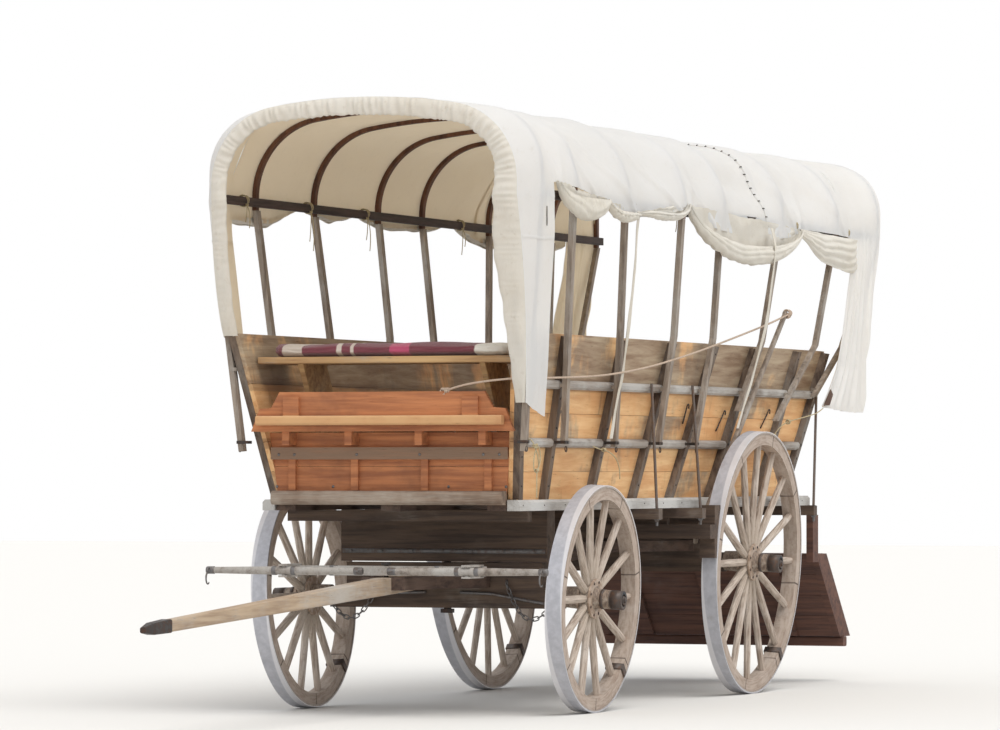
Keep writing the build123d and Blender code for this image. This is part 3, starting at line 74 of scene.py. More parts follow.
CANVAS_LOW, CANVAS_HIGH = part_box("canopy_roof")
SIDES = ((1, "left"), (-1, "right"))
print("rear axle at", round(REAR_AXLE, 3), "canvas top", round(CANVAS_HIGH.z, 3))

# %% [markdown]
# The camera stands far off with a long lens, ahead of the wagon and to its left, at about the
# height of the wheels' tops, as in the photograph. It is made first, because everything after it is
# judged through it.

# %% The camera
EYE = Vector((at(29.51), 10.89, 1.307))
HEADING = Vector((-0.9304, -0.3665, 0.0))
PITCH_UP = math.radians(1.11)
LENS_MM = 192.6

camera = bpy.data.objects.new("camera", bpy.data.cameras.new("camera"))
scene.collection.objects.link(camera)
camera.location = EYE
aim = (HEADING.normalized() + Vector((0, 0, math.tan(PITCH_UP)))).normalized()
camera.rotation_mode = "QUATERNION"
camera.rotation_quaternion = aim.to_track_quat("-Z", "Y")
camera.data.lens = LENS_MM
camera.data.clip_end = 200
scene.camera = camera
print("camera", [round(v, 2) for v in camera.location])

# %% [markdown]
# ## Shapes as surfaces
# A mesh can be modelled by hand, face by face, or worked out. Here each one is a grid of points
# that a formula gives from two parameters, computed as whole arrays. The helper below turns such a
# grid into a mesh, closes it round a tube when asked, and gives it smooth faces.

# %% From a grid of points to a mesh
def piece_from(name, points, faces, finish, body="root", slot=None, smooth=True):
    """Put vertices and faces in a new object that rides on a body of the frame."""
    mesh = bpy.data.meshes.new(name)
    mesh.from_pydata(np.asarray(points, float).reshape(-1, 3), [], faces)
    mesh.polygons.foreach_set("use_smooth", np.full(len(mesh.polygons), smooth))
    mesh.update()
    mesh.materials.append(finish)
    piece = bpy.data.objects.new(name, mesh)
    scene.collection.objects.link(piece)
    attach(piece, body)
    return piece


def mesh_piece(name, parts, finish, body="root", slot=None, smooth=True):
    """Make one object from several shapes, each given as its points and its faces."""
    points, faces, start = [], [], 0
    for some, around_them in parts:
        points.append(np.asarray(some, float).reshape(-1, 3))
        faces += [[corner + start for corner in face] for face in around_them]
        start += len(points[-1])
    return piece_from(name, np.concatenate(points), faces, finish, body, slot, smooth)


def grid_faces(rows, columns, round_rows=False, round_columns=False):
    """Give the quads of a grid, joined end to end along rows or columns that close on themselves."""
    r = np.arange(rows if round_rows else rows - 1)[:, None]
    c = np.arange(columns if round_columns else columns - 1)[None, :]
    r2, c2 = (r + 1) % rows, (c + 1) % columns
    quads = np.stack([r * columns + c, r2 * columns + c, r2 * columns + c2, r * columns + c2], -1)
    return quads.reshape(-1, 4)


def tube_faces(rows, sides):
    """Give the outward faces of a tube of rings, with a cap on each end."""
    faces = grid_faces(rows, sides, round_columns=True)[:, ::-1].tolist()
    return faces + [list(range(sides))[::-1], list(range((rows - 1) * sides, rows * sides))]


def circle(count):
    """Give evenly spaced angles once round."""
    return np.linspace(0, 2 * np.pi, count, endpoint=False)


def run_along(path):
    """Give the length of a path before each of its points."""
    return np.concatenate([[0], np.cumsum(np.linalg.norm(np.diff(path, axis=0), axis=1))])


def frames_along(path):
    """Give each point's forward, side and upward direction: the side stays level where it can."""
    path = np.asarray(path, float)
    ahead = np.gradient(path, axis=0)
    ahead /= np.linalg.norm(ahead, axis=1, keepdims=True)
    up = np.where(np.abs(ahead[:, 2:3]) > 0.9, [[0.0, 1.0, 0.0]], [[0.0, 0.0, 1.0]])
    side = np.cross(up, ahead)
    side /= np.linalg.norm(side, axis=1, keepdims=True)
    return ahead, side, np.cross(ahead, side)


def tube(path, radius, sides):
    """Give points and faces of a tube: a ring of that radius at each point of a path, capped.

    A ring point is the path's point, plus side times cos(a), plus up times sin(a), for an angle a.
    """
    path = np.asarray(path, float)
    radius = np.broadcast_to(np.asarray(radius, float), len(path))
    _, side, up = frames_along(path)
    a = circle(sides)
    ring = side[:, None] * np.cos(a)[None, :, None] + up[:, None] * np.sin(a)[None, :, None]
    points = path[:, None] + ring * radius[:, None, None]
    return points.reshape(-1, 3), tube_faces(len(path), sides)


def soften(piece, width, segments):
    """Round the hard edges of a piece with a bevel."""
    bevel = piece.modifiers.new("worn edges", "BEVEL")
    bevel.width = width
    bevel.segments = segments
    bevel.limit_method = "ANGLE"


# %% [markdown]
# ## Finishes as sums
# A finish is a tree of shader nodes. Wiring nodes by hand is hard to read, so one small class wraps
# a socket: adding or multiplying two of them adds a Math node. Another method makes any other node.

# %% Wire and Finish
class Wire:
    """An output socket of a finish, on which sums are written as Python expressions."""

    def __init__(self, finish, socket):
        self.finish, self.socket = finish, socket

    def __add__(self, other):
        return self.finish.sum("ADD", self, other)

    def __sub__(self, other):
        return self.finish.sum("SUBTRACT", self, other)

    def __rsub__(self, other):
        return self.finish.sum("SUBTRACT", other, self)

    def __mul__(self, other):
        return self.finish.sum("MULTIPLY", self, other)

    def __gt__(self, other):
        return self.finish.sum("GREATER_THAN", self, other)

    def __lt__(self, other):
        return self.finish.sum("LESS_THAN", self, other)

    def __abs__(self):
        return self.finish.sum("ABSOLUTE", self)

    __radd__ = __add__
    __rmul__ = __mul__


def paint(red, green, blue):
    """Turn a colour as the eye reads it, 0 to 255, into the linear one that shaders use."""
    c = np.array([red, green, blue]) / 255
    linear = np.where(c <= 0.04045, c / 12.92, ((c + 0.055) / 1.055) ** 2.4)
    return (*linear.tolist(), 1.0)


class Finish:
    """A material under way: each method adds a node and gives its output."""

    def __init__(self, name, **sockets):
        self.material = bpy.data.materials.new(name)
        self.material.use_nodes = True
        self.tree = self.material.node_tree
        self.shader = self.tree.nodes["Principled BSDF"]
        for key, value in sockets.items():
            self.shader.inputs[key.replace("_", " ")].default_value = value

    def feed(self, socket, value):
        """Link a wire to a socket, or set its value."""
        if isinstance(value, Wire):
            self.tree.links.new(value.socket, socket)
        else:
            socket.default_value = value

    def node(self, kind, settings=None, inputs=None, output=0):
        """Add a node of a type, with its settings set first and then its inputs."""
        made = self.tree.nodes.new("ShaderNode" + kind)
        for key, value in (settings or {}).items():
            setattr(made, key, value)
        for key, value in (inputs or {}).items():
            self.feed(made.inputs[key], value)
        return Wire(self, made.outputs[output])

    def sum(self, operation, a, b=0.0):
        return self.node("Math", {"operation": operation}, {0: a, 1: b})

    def place(self, centre=(0, 0, 0), scale=(1, 1, 1)):
        """Give the object's own coordinates, centred and scaled."""
        where = self.node("TexCoord", output="Object")
        moved = self.node("Mapping", {}, {0: where, 1: tuple(-c for c in centre)})
        return self.node("Mapping", {}, {0: moved, 3: scale})

    def split(self, vector):
        """Give a vector's three parts."""
        node = self.tree.nodes.new("ShaderNodeSeparateXYZ")
        self.feed(node.inputs[0], vector)
        return [Wire(self, o) for o in node.outputs]

    def join(self, x, y, z):
        return self.node("CombineXYZ", {}, {0: x, 1: y, 2: z})

    def noise(self, vector, scale, detail, rough, bend=0.0, seed=0.0):
        """Give a soft random pattern round 0.5 with features 1/scale across."""
        return self.node("TexNoise", {"noise_dimensions": "4D"}, {
            "Vector": vector, "W": seed, "Scale": scale, "Detail": detail, "Roughness": rough,
            "Distortion": bend})

    def spread(self, value, low, high, to_low=0.0, to_high=1.0):
        """Stretch a value so that low and high become the two ends, smoothly and clamped."""
        return self.node("MapRange", {"interpolation_type": "SMOOTHSTEP"}, {
            0: value, 1: low, 2: high, 3: to_low, 4: to_high})

    def mix(self, share, a, b):
        """Give colour a where the share is 0, and colour b where it is 1."""
        return self.node("Mix", {"data_type": "RGBA"}, {0: share, 6: a, 7: b}, output=2)

    def tones(self, value, low, high, first, second):
        """Go from one paint to another as a value goes from low to high."""
        return self.mix(self.spread(value, low, high), paint(*first), paint(*second))

    def tint(self, colour, value, low, high, share, stain):
        """Lay a stain over a colour as a value goes from low to high, up to a share."""
        return self.mix(self.spread(value, low, high) * share, colour, paint(*stain))

    def bump(self, height, depth, strength=0.5):
        """Give normals for a height that stands up to depth metres."""
        return self.node("Bump", {}, {"Height": height, "Distance": depth, "Strength": strength})

    def done(self, colour, rough, normal=None):
        """Feed the shader and give the finished material."""
        self.feed(self.shader.inputs["Base Color"], colour)
        self.feed(self.shader.inputs["Roughness"], rough)
        if normal is not None:
            self.feed(self.shader.inputs["Normal"], normal)
        return self.material


def dress(finish, *names):
    """Give frame nodes a finish, in all their material slots."""
    for name in names:
        slots = NODES[name].data.materials
        if len(slots) == 0:
            slots.append(finish)
        for number in range(len(slots)):
            slots[number] = finish


# %% [markdown]
# ## Timber
# The wagon's wood has stood outside for years: fine grain along each piece, dark lines where it
# has cracked, grey where the sun took its colour. One function makes them all. Grain is noise that
# is squeezed many times across the length, so each finish says which way its pieces run.

# %% The timber finish
def grain_place(finish, along):
    """Give coordinates squeezed so that noise runs along an axis."""
    squeeze = {"X": (0.06, 1, 1), "Y": (1, 0.06, 1), "Z": (1, 1, 0.06)}[along]
    return finish.place(scale=squeeze)


def timber(name, light, dark, grey, worn, along="X"):
    """Make weathered wood: two grain colours, grey patches, cracks and dusty bumps."""
    wood = Finish(name)
    lengthwise = grain_place(wood, along)
    bands = wood.noise(lengthwise, 28, 5, 0.6, 0.4)
    fine = wood.noise(lengthwise, 150, 4, 0.7)
    patch = wood.noise(wood.place(), 2.3, 4, 0.6, seed=3.0)
    colour = wood.tones(bands, 0.32, 0.7, light, dark)
    colour = wood.tint(colour, patch * 0.7 + fine * 0.3, 0.62 - 0.3 * worn, 0.8 - 0.25 * worn, 1.0, grey)
    cracks = wood.spread(fine, 0.58, 0.72) * wood.spread(patch, 0.35, 0.6)
    colour = wood.mix(cracks * 0.75, colour, paint(52, 40, 32))
    height = bands * 0.4 + fine * 0.6 - cracks * 0.5
    return wood.done(colour, wood.spread(fine, 0.3, 0.7, 0.70, 0.88), wood.bump(height, 0.004))


# %% [markdown]
# The side boards are the warmest wood on the wagon: honey and orange pine with knots, gone grey in
# places and all along the top row. Each row of boards has its own pattern, picked by its height.

# %% Side boards
SEAMS = (1.290, 1.447, 1.600, 1.755)
# Heights where the two rails shade the boards
RAIL_SHADE = (1.440, 1.748)


def board_finish():
    """Make honey pine in rows: grain, knots with rings, grey patches, and a painted shadow band along each
    rail.
    """
    wood = Finish("side board pine")
    where = wood.place()
    x, y, z = wood.split(where)
    row = sum((z > seam) * 1.0 for seam in SEAMS[1:]) + (z > SEAMS[0])
    side = y > 0
    seed = row * 7.3 + side * 31.0
    lengthwise = wood.place(scale=(0.09, 1, 1))
    bands = wood.noise(lengthwise, 22, 5, 0.6, 0.5, seed)
    fine = wood.noise(lengthwise, 130, 4, 0.7, 0.0, seed)
    patch = wood.noise(where, 1.7, 4, 0.62, 0.2, seed + 2.0)
    colour = wood.tones(bands, 0.3, 0.72, (234, 193, 140), (206, 151, 98))
    colour = wood.tint(colour, patch, 0.45, 0.62, 0.5, (218, 157, 98))
    # Knots: cells of a random pattern, stretched a little along the board
    cells = wood.place(scale=(0.55, 1, 1))
    knot = wood.node("TexVoronoi", {"voronoi_dimensions": "4D", "feature": "F1"},
                     {"Vector": cells, "W": seed, "Scale": 4.2, "Randomness": 1.0})
    colour = wood.tint(colour, knot, 0.12, 0.03, 0.8, (112, 66, 36))
    colour = wood.tint(colour, knot, 0.055, 0.035, 0.9, (58, 36, 24))
    stain = wood.noise(wood.place(scale=(1, 1, 0.25)), 9, 4, 0.6, 0.3, seed)
    colour = wood.tint(colour, stain, 0.58, 0.74, 0.55, (112, 78, 52))
    weathered = wood.noise(where, 1.15, 5, 0.66, 0.4, seed + 5.0)
    top = wood.spread(z, SEAMS[3] - 0.01, SEAMS[3] + 0.01)
    grey = wood.tones(bands, 0.3, 0.7, (158, 146, 128), (96, 84, 72))
    colour = wood.mix(wood.spread(weathered + top * 0.16, 0.52, 0.64) * 0.8, colour, grey)
    colour = wood.tint(colour, fine, 0.6, 0.72, 0.6, (70, 48, 34))
    # Painted shadow: a dark band on the boards just above and below each rail, where the rail shades them.
    below = sum(wood.spread(abs(z - height), 0.034, 0.022) for height in RAIL_SHADE)
    colour = wood.mix(below * 0.45, colour, paint(92, 62, 42))
    height = bands * 0.4 + fine * 0.5 - wood.spread(knot, 0.1, 0.02) * 0.3
    return wood.done(colour, wood.spread(fine, 0.3, 0.7, 0.62, 0.82), wood.bump(height, 0.004))


dress(board_finish(), "side_boards")

# %% [markdown]
# The front end's boards are the reddest wood. The batten across them has gone grey-brown, the toe
# ledge is scuffed pale by use, and faces that look up are painted paler, partly wear and partly painted
# top light. Place and facing decide which is where.

# %% The front end's wood
BATTEN_FRONT, BATTEN_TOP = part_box("end_boards")[1].x, 1.43
TOE_FRONT, TOE_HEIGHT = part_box("footboard")[1].x, 1.561


def front_finish():
    """Make orange-brown boards with a grey batten, a scuffed toe ledge, and upward faces painted paler,
    partly wear and partly painted top light.
    """
    wood = Finish("front end wood")
    where = wood.place()
    x, y, z = wood.split(where)
    lengthwise = grain_place(wood, "Y")
    bands = wood.noise(lengthwise, 26, 5, 0.6, 0.4)
    fine = wood.noise(lengthwise, 150, 4, 0.7)
    patch = wood.noise(where, 3.1, 4, 0.6, seed=7.0)
    colour = wood.tones(bands, 0.32, 0.7, (194, 126, 80), (146, 88, 56))
    colour = wood.tint(colour, patch, 0.5, 0.7, 0.5, (120, 76, 52))
    batten = wood.spread(x, BATTEN_FRONT - 0.010, BATTEN_FRONT - 0.006) * (z < BATTEN_TOP)
    colour = wood.mix(batten * wood.spread(bands, 0.2, 0.5, 0.7, 0.95), colour, paint(130, 106, 86))
    toe = wood.spread(x, TOE_FRONT - 0.05, TOE_FRONT - 0.04) * wood.spread(abs(z - TOE_HEIGHT), 0.03, 0.025)
    colour = wood.mix(toe * wood.spread(patch, 0.35, 0.6, 0.5, 0.95), colour, paint(204, 160, 112))
    facing = wood.split(wood.node("NewGeometry", output="Normal"))[2]
    # Painted top light mixed with wear: faces that look up are painted paler, and noise breaks it up like
    # wear.
    worn = wood.spread(facing, 0.55, 0.9) * wood.spread(patch * 0.5 + fine * 0.5, 0.3, 0.6, 0.45, 0.95)
    colour = wood.mix(worn, colour, paint(214, 176, 132))
    colour = wood.tint(colour, fine, 0.6, 0.74, 0.6, (70, 42, 30))
    bump = wood.bump(bands * 0.4 + fine * 0.6, 0.004)
    return wood.done(colour, wood.spread(fine, 0.3, 0.7, 0.62, 0.84), bump)


# %% [markdown]
# The ribs, rails, ledges and running gear each have their own weathering. The gear below the bed is
# nearly black-brown, the ledges are silver grey, and the bow legs are brown where they are handled.

# %% The other timbers
# Each wood: light and dark grain, grey, how weathered it is, which way it runs, and what is made of it
WOODS = {
    "rib wood": [(118, 100, 84), (70, 54, 44), (128, 122, 114), 0.5, "Z", "side_ribs"],
    "rail wood": [(158, 148, 138), (104, 92, 82), (178, 174, 168), 0.7, "X",
                  "side_rails", "evener", "singletree_left", "singletree_right"],
    "ledge wood": [(168, 162, 154), (118, 110, 102), (190, 188, 184), 0.9, "X", "ledges"],
    "gear wood": [(96, 76, 64), (62, 48, 42), (120, 108, 98), 0.25, "X",
                  "sills", "reach", "rear_hounds", "front_hounds"],
    "gear wood across": [(96, 78, 64), (60, 47, 40), (126, 116, 106), 0.3, "Y",
                         "rear_axle", "front_axle", "rear_bolster", "front_bolster", "sand_board",
                         "cross_beams", "brake_beam", "brake_shoes"],
    "tongue wood": [(182, 160, 134), (138, 114, 92), (176, 168, 158), 0.6, "X", "tongue"],
    "bow leg wood": [(156, 142, 128), (112, 98, 86), (172, 166, 158), 0.5, "Z", "bow_legs", "brake_lever"],
    "hoop wood": [(112, 74, 52), (74, 46, 34), (120, 96, 78), 0.1, "Z", "bow_hoops"],
    "bow rail wood": [(70, 54, 48), (42, 32, 30), (90, 78, 70), 0.1, "X", "bow_rails"],
    "floor wood": [(150, 128, 104), (104, 84, 66), (150, 144, 136), 0.6, "Y", "floor"],
    "step wood": [(104, 70, 56), (66, 44, 38), (110, 92, 84), 0.2, "Y",
                  "step_boards", "step_stringers", "step_treads"],
    "seat wood": [(196, 160, 112), (150, 112, 76), (160, 150, 136), 0.4, "Y", "seat_plank", "seat_uprights"],
    "bench wood": [(168, 138, 104), (122, 94, 68), (150, 142, 130), 0.5, "X", "benches"],
    "front beam wood": [(138, 116, 98), (96, 78, 64), (168, 156, 142), 0.6, "Y", "front_beam"],
}
woods = {}
for name, (light, dark, grey, worn, along, *timbers) in WOODS.items():
    woods[name] = timber(name, light, dark, grey, worn, along)
    dress(woods[name], *timbers)
dress(front_finish(), "end_boards", "footboard")
print("timber finishes", len(bpy.data.materials))

# %% [markdown]
# ## Iron
# Old iron on a wagon is dark and half matt, with rust in the hollows and dust on top. The tyres are
# different: the road keeps their tread scoured to a dull blue-grey, and their edges are painted near
# white, partly polished wear and partly painted highlight.

# %% Iron finishes
def iron_finish(name, base=(62, 58, 56), rust=(104, 70, 50), metal=0.6):
    """Make black forged iron with rust spots and dust."""
    iron = Finish(name, Metallic=metal)
    where = iron.place()
    mottle = iron.noise(where, 34, 5, 0.65)
    spots = iron.noise(where, 120, 4, 0.6, seed=2.0)
    colour = iron.tint(paint(*base), mottle, 0.45, 0.7, 0.6, rust)
    colour = iron.tint(colour, spots, 0.62, 0.75, 0.4, (150, 138, 124))
    rough = iron.spread(mottle, 0.3, 0.7, 0.42, 0.72)
    return iron.done(colour, rough, iron.bump(spots + mottle, 0.0012, 0.6))


black_iron = iron_finish("black iron")
chain_iron = iron_finish("chain iron", (120, 118, 118), (110, 88, 70), 0.8)
stay_iron = iron_finish("stay iron", (104, 94, 88), (120, 92, 70), 0.5)
dress(stay_iron, "stays")
dress(black_iron, "kingpin", "draft_pin", "tongue_cap")


def rim_radius(end, side):
    """Give a tyre's outer radius from its box."""
    low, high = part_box(f"tyre_{end}_{side}")
    return (high.x - low.x) / 2


def round_axle(finish, end, side):
    """Give a wheel's own coordinates, its Y, the distance from its axle, and the angle round it."""
    where = finish.place(tuple(middle(f"tyre_{end}_{side}")))
    x, y, z = finish.split(where)
    return where, y, finish.sum("SQRT", x * x + z * z), finish.sum("ARCTAN2", z, x)


def tyre_finish(end, side):
    """Make scoured tread with edges painted near white, partly polished wear and partly painted highlight,
    and dust lower on the sides, centred on its wheel.
    """
    iron = Finish(f"tyre iron {end} {side}", Metallic=0.25)
    where, y, radius, angle = round_axle(iron, end, side)
    rim = rim_radius(end, side)
    streak = iron.noise(iron.join(angle * 0.6, y, radius * 0.1), 30, 5, 0.65)
    mottle = iron.noise(where, 9, 5, 0.6)
    fine = iron.noise(where, 90, 3, 0.6)
    colour = iron.tones(streak * 0.6 + mottle * 0.4, 0.38, 0.62, (172, 172, 178), (190, 190, 196))
    colour = iron.tint(colour, mottle, 0.55, 0.7, 0.3, (150, 142, 136))
    # Painted highlight, partly polished wear: a near-white band along both corners of the tread.
    edge = iron.spread(abs(y), 0.036, 0.044) * iron.spread(radius, rim - 0.012, rim - 0.006)
    colour = iron.mix(edge * 0.8, colour, paint(222, 220, 222))
    dusty = iron.tones(fine, 0.4, 0.65, (170, 158, 148), (140, 128, 118))
    colour = iron.mix(iron.spread(radius, rim - 0.004, rim - 0.010), colour, dusty)
    return iron.done(colour, iron.spread(mottle, 0.3, 0.7, 0.42, 0.62), iron.bump(fine + mottle, 0.0015))


# %% [markdown]
# Wheel wood is pale with road dust. The grain of a spoke runs out from the hub, so its pattern is
# drawn in polar coordinates: the angle round the wheel, and the distance from the centre. The
# rim is made of curved lengths, felloes, that meet at dark joints.

# %% Wheel wood
def wheel_finish(end, side, felloes):
    """Make dusty wheel wood, with radial grain on the spokes, ring grain and joints on the rim."""
    wood = Finish(f"wheel wood {end} {side}")
    where, y, radius, angle = round_axle(wood, end, side)
    rim = rim_radius(end, side)
    spoke_grain = wood.noise(wood.join(angle * 5.0, y * 4.0, radius * 0.5), 16, 4, 0.6)
    ring_grain = wood.noise(wood.join(angle * 0.5, y * 3.0, radius * 6.0), 16, 4, 0.6)
    on_rim = wood.spread(radius, rim - 0.082, rim - 0.074)
    grain = spoke_grain + (ring_grain - spoke_grain) * on_rim
    dust = wood.noise(where, 5.5, 5, 0.62)
    chips = wood.noise(where, 46, 4, 0.6, seed=4.0)
    colour = wood.tones(grain, 0.35, 0.68, (196, 182, 168), (148, 130, 116))
    colour = wood.tint(colour, dust, 0.5, 0.68, 0.55, (210, 200, 190))
    colour = wood.tint(colour, chips, 0.62, 0.72, 0.55, (112, 92, 76))
    colour = wood.mix(on_rim * 0.45, colour, paint(158, 138, 124))
    turns = wood.sum("FRACT", angle * (felloes / (2 * math.pi)) + felloes)
    joint = wood.spread(abs(turns - 0.25), 0.012, 0.004) * on_rim
    colour = wood.mix(joint * 0.85, colour, paint(62, 50, 42))
    colour = wood.tint(colour, radius, 0.30, 0.10, 0.35, (176, 162, 144))
    height = grain * 0.5 + chips * 0.4 - joint * 1.5
    return wood.done(colour, wood.spread(dust, 0.3, 0.7, 0.72, 0.92), wood.bump(height, 0.0035))


def hub_finish(end, side):
    """Make the turned hub: pale dusty wood, a dark iron band at its outer end, and painted shade in the hole
    at its tip.
    """
    hub = Finish(f"hub finish {end} {side}")
    where, y, radius, angle = round_axle(hub, end, side)
    out = abs(hub.split(hub.place())[1])
    tip = max(abs(corner.y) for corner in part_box(f"hub_{end}_{side}"))
    turned_rings = hub.noise(hub.join(radius * 2.0, y * 14.0, angle * 0.3), 9, 4, 0.6)
    mottle = hub.noise(where, 30, 5, 0.6)
    colour = hub.tones(turned_rings, 0.35, 0.65, (150, 132, 116), (104, 88, 76))
    colour = hub.tint(colour, mottle, 0.5, 0.68, 0.6, (186, 174, 160))
    flange = hub.tones(mottle, 0.4, 0.6, (196, 176, 158), (150, 124, 104))
    colour = hub.mix(hub.spread(radius, 0.064, 0.070) * 0.75, colour, flange)
    colour = hub.tint(colour, out, tip - 0.078, tip - 0.070, 0.85, (74, 66, 62))
    # Painted shade: the hole at the hub's tip is painted blue-black, as shadow in the hollow.
    bore_shade = hub.spread(out, tip - 0.004, tip - 0.0005) * hub.spread(radius, 0.040, 0.034)
    colour = hub.mix(bore_shade, colour, paint(34, 38, 46))
    bump = hub.bump(mottle + turned_rings, 0.002)
    return hub.done(colour, hub.spread(mottle, 0.3, 0.7, 0.55, 0.8), bump)


for end, felloes in (("rear", 8), ("front", 7)):
    for _, side in SIDES:
        dress(tyre_finish(end, side), f"tyre_{end}_{side}")
        dress(wheel_finish(end, side, felloes), f"spokes_{end}_{side}")
        dress(hub_finish(end, side), f"hub_{end}_{side}")
print("finishes so far", len(bpy.data.materials))

# %% [markdown]
# ## The brake rope
# A rope from the head of the brake lever runs forward along the left side, round the side's front
# edge and over the footboard, in reach of the front seat. It could be swept by a bevelled curve,
# but its three strands would be lost. So the route is a smooth spline, and a tube whose section has
# three lobes is carried along the spline's own points, turning as it goes.

# %% The rope's route
ROPE_D = 0.012
STRAND_TURN = 0.052
# Station, Y and height of the route's control points, from the lever to the footboard
ROPE_ROUTE = [
    (-0.556, 0.8795, 2.219), (-0.385, 0.885, 2.190), (-0.212, 0.889, 2.161), (-0.036, 0.888, 2.132),
    (0.140, 0.885, 2.104), (0.314, 0.882, 2.076), (0.490, 0.881, 2.049), (0.662, 0.880, 2.023),
    (0.836, 0.880, 1.998), (1.010, 0.881, 1.973), (1.183, 0.880, 1.949), (1.357, 0.879, 1.926),
    (1.530, 0.878, 1.904), (1.703, 0.878, 1.883), (1.876, 0.877, 1.864), (2.050, 0.875, 1.847),
    (2.222, 0.874, 1.832), (2.394, 0.872, 1.819), (2.566, 0.870, 1.808), (2.738, 0.867, 1.800),
    (2.905, 0.863, 1.794), (3.070, 0.859, 1.789), (3.232, 0.842, 1.785), (3.390, 0.824, 1.782),
    (3.520, 0.812, 1.779), (3.592, 0.811, 1.778), (3.628, 0.798, 1.777), (3.641, 0.762, 1.775),
    (3.632, 0.700, 1.771), (3.617, 0.620, 1.764), (3.600, 0.530, 1.753), (3.580, 0.445, 1.739),
    (3.560, 0.372, 1.719),
]


def smooth_line(name, route, steps):
    """Give the points of a smooth open spline that has a route's points as its control points."""
    curve = bpy.data.curves.new(name, "CURVE")
    curve.dimensions = "3D"
    spline = curve.splines.new("NURBS")
    spline.points.add(len(route) - 1)
    for point, (ahead, y, z) in zip(spline.points, route):
        point.co = (at(ahead), y, z, 1.0)
    spline.order_u = 3
    spline.use_endpoint_u = True
    spline.resolution_u = steps
    line = bpy.data.objects.new(name, curve)
    mesh = bpy.data.meshes.new_from_object(line)
    points = np.empty(len(mesh.vertices) * 3)
    mesh.vertices.foreach_get("co", points)
    bpy.data.objects.remove(line)
    bpy.data.meshes.remove(mesh)
    return points.reshape(-1, 3)


def laid_rope(path, diameter, turn_length, sides=15):
    """Give points and faces of a laid rope along a path.

    A ring point's radius is r (0.88 + 0.12 cos(3 (a - 2 pi s / turn_length))), where a is its
    angle and s the length of path before it, so that three lobes wind round as strands do.
    """
    a = circle(sides)[None, :]
    lobe = 0.88 + 0.12 * np.cos(3 * (a - 2 * np.pi * run_along(path)[:, None] / turn_length))
    _, side, up = frames_along(path)
    ring = side[:, None] * (np.cos(a) * lobe)[..., None] + up[:, None] * (np.sin(a) * lobe)[..., None]
    points = path[:, None] + ring * diameter / 2
    *quads, first_end, last_end = tube_faces(len(path), sides)
    # A twisted quad is split from its first corner: this one keeps the split along the strands
    quads = [[d, a, b, c] for a, b, c, d in quads]
    return points.reshape(-1, 3), quads + [first_end, last_end]


def rope_finish(name, light, dark):
    """Make hemp: fine slanting fibres, darker where it is handled."""
    hemp = Finish(name)
    fibre = hemp.noise(hemp.place(), 420, 3, 0.7)
    worn = hemp.noise(hemp.place(), 7, 4, 0.6)
    colour = hemp.tones(fibre, 0.35, 0.65, light, dark)
    colour = hemp.tint(colour, worn, 0.5, 0.7, 0.4, (150, 132, 112))
    return hemp.done(colour, 0.9, hemp.bump(fibre, 0.0008, 0.6))


hemp_finish = rope_finish("brake rope hemp", (206, 186, 168), (160, 138, 118))
cord_finish = rope_finish("tie cord hemp", (198, 184, 150), (150, 132, 98))
rope_line = smooth_line("brake rope line", ROPE_ROUTE, 30)
brake_rope = mesh_piece("brake_rope_laid", [laid_rope(rope_line, ROPE_D, STRAND_TURN)], hemp_finish,
                        slot="rope")
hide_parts("brake_rope")


def wound_cord(centre, radius, turns, pitch, thick, axis):
    """Give points and faces of a cord wound round an axis: a helix with a slowly changing radius."""
    t = np.linspace(0, 2 * np.pi * turns, int(18 * turns) + 1)
    grow = 1 + 0.08 * np.sin(2.3 * t)
    along = (t / (2 * np.pi) - turns / 2) * pitch
    round_a, round_b = np.cos(t) * radius * grow, np.sin(t) * radius * grow
    shape = {"X": (along, round_a, round_b), "Y": (round_a, along, round_b), "Z": (round_a, round_b, along)}
    return tube(np.stack(shape[axis], 1) + np.asarray(centre), thick / 2, 8)


lever_knot = mesh_piece("lever_knot", [
    wound_cord((at(-0.572), 0.8665, 2.222), 0.0225, 3.2, 0.012, ROPE_D * 0.9, "X"),
    wound_cord((at(-0.556), 0.8795, 2.214), 0.010, 2.2, 0.010, ROPE_D * 0.8, "Z"),
], hemp_finish, slot="rope")
foot_knot = mesh_piece("footboard_knot", [
    wound_cord((at(3.560), 0.368, 1.716), 0.011, 3.0, 0.010, ROPE_D * 0.9, "Y"),
    wound_cord((at(3.558), 0.350, 1.712), 0.015, 2.0, 0.011, ROPE_D * 0.85, "X"),
], hemp_finish, slot="rope")
at(ROPE_ROUTE[0][0])
print("rope points", len(rope_line))

# %% [markdown]
# ## The canvas cover
# The cover is one sheet of heavy cotton over eight bows. It could be draped by a cloth simulation,
# but its form is known: every crosswise section is an arch with round corners, tight over the end
# bows, rounder between, and drawn in like a bonnet at the front. So the sheet is a grid: one
# parameter runs along the wagon and the other round the arch. Sag between the bows, soft ridges
# that run up from the ties, and small puckers are then added along the surface's own normal.

# %% The arch
HALF = CANVAS_HIGH.y
CROWN = CANVAS_HIGH.z
CROWN_SLOPE = 0.082
BOW_TOPS = np.array([-2.130, -1.330, -0.285, 0.765, 1.425, 2.340, 3.130, 3.655])
# Each section, from the rear: station, half width, corner radius
SECTIONS = np.array([
    (-2.185, 0.9400, 0.3285), (-2.090, 0.9400, 0.3285), (-1.365, 0.9400, 0.4385), (3.165, 0.9400, 0.4385),
    (3.620, 0.9400, 0.3285), (3.690, 0.9400, 0.3285), (3.825, 0.8650, 0.4085),
])


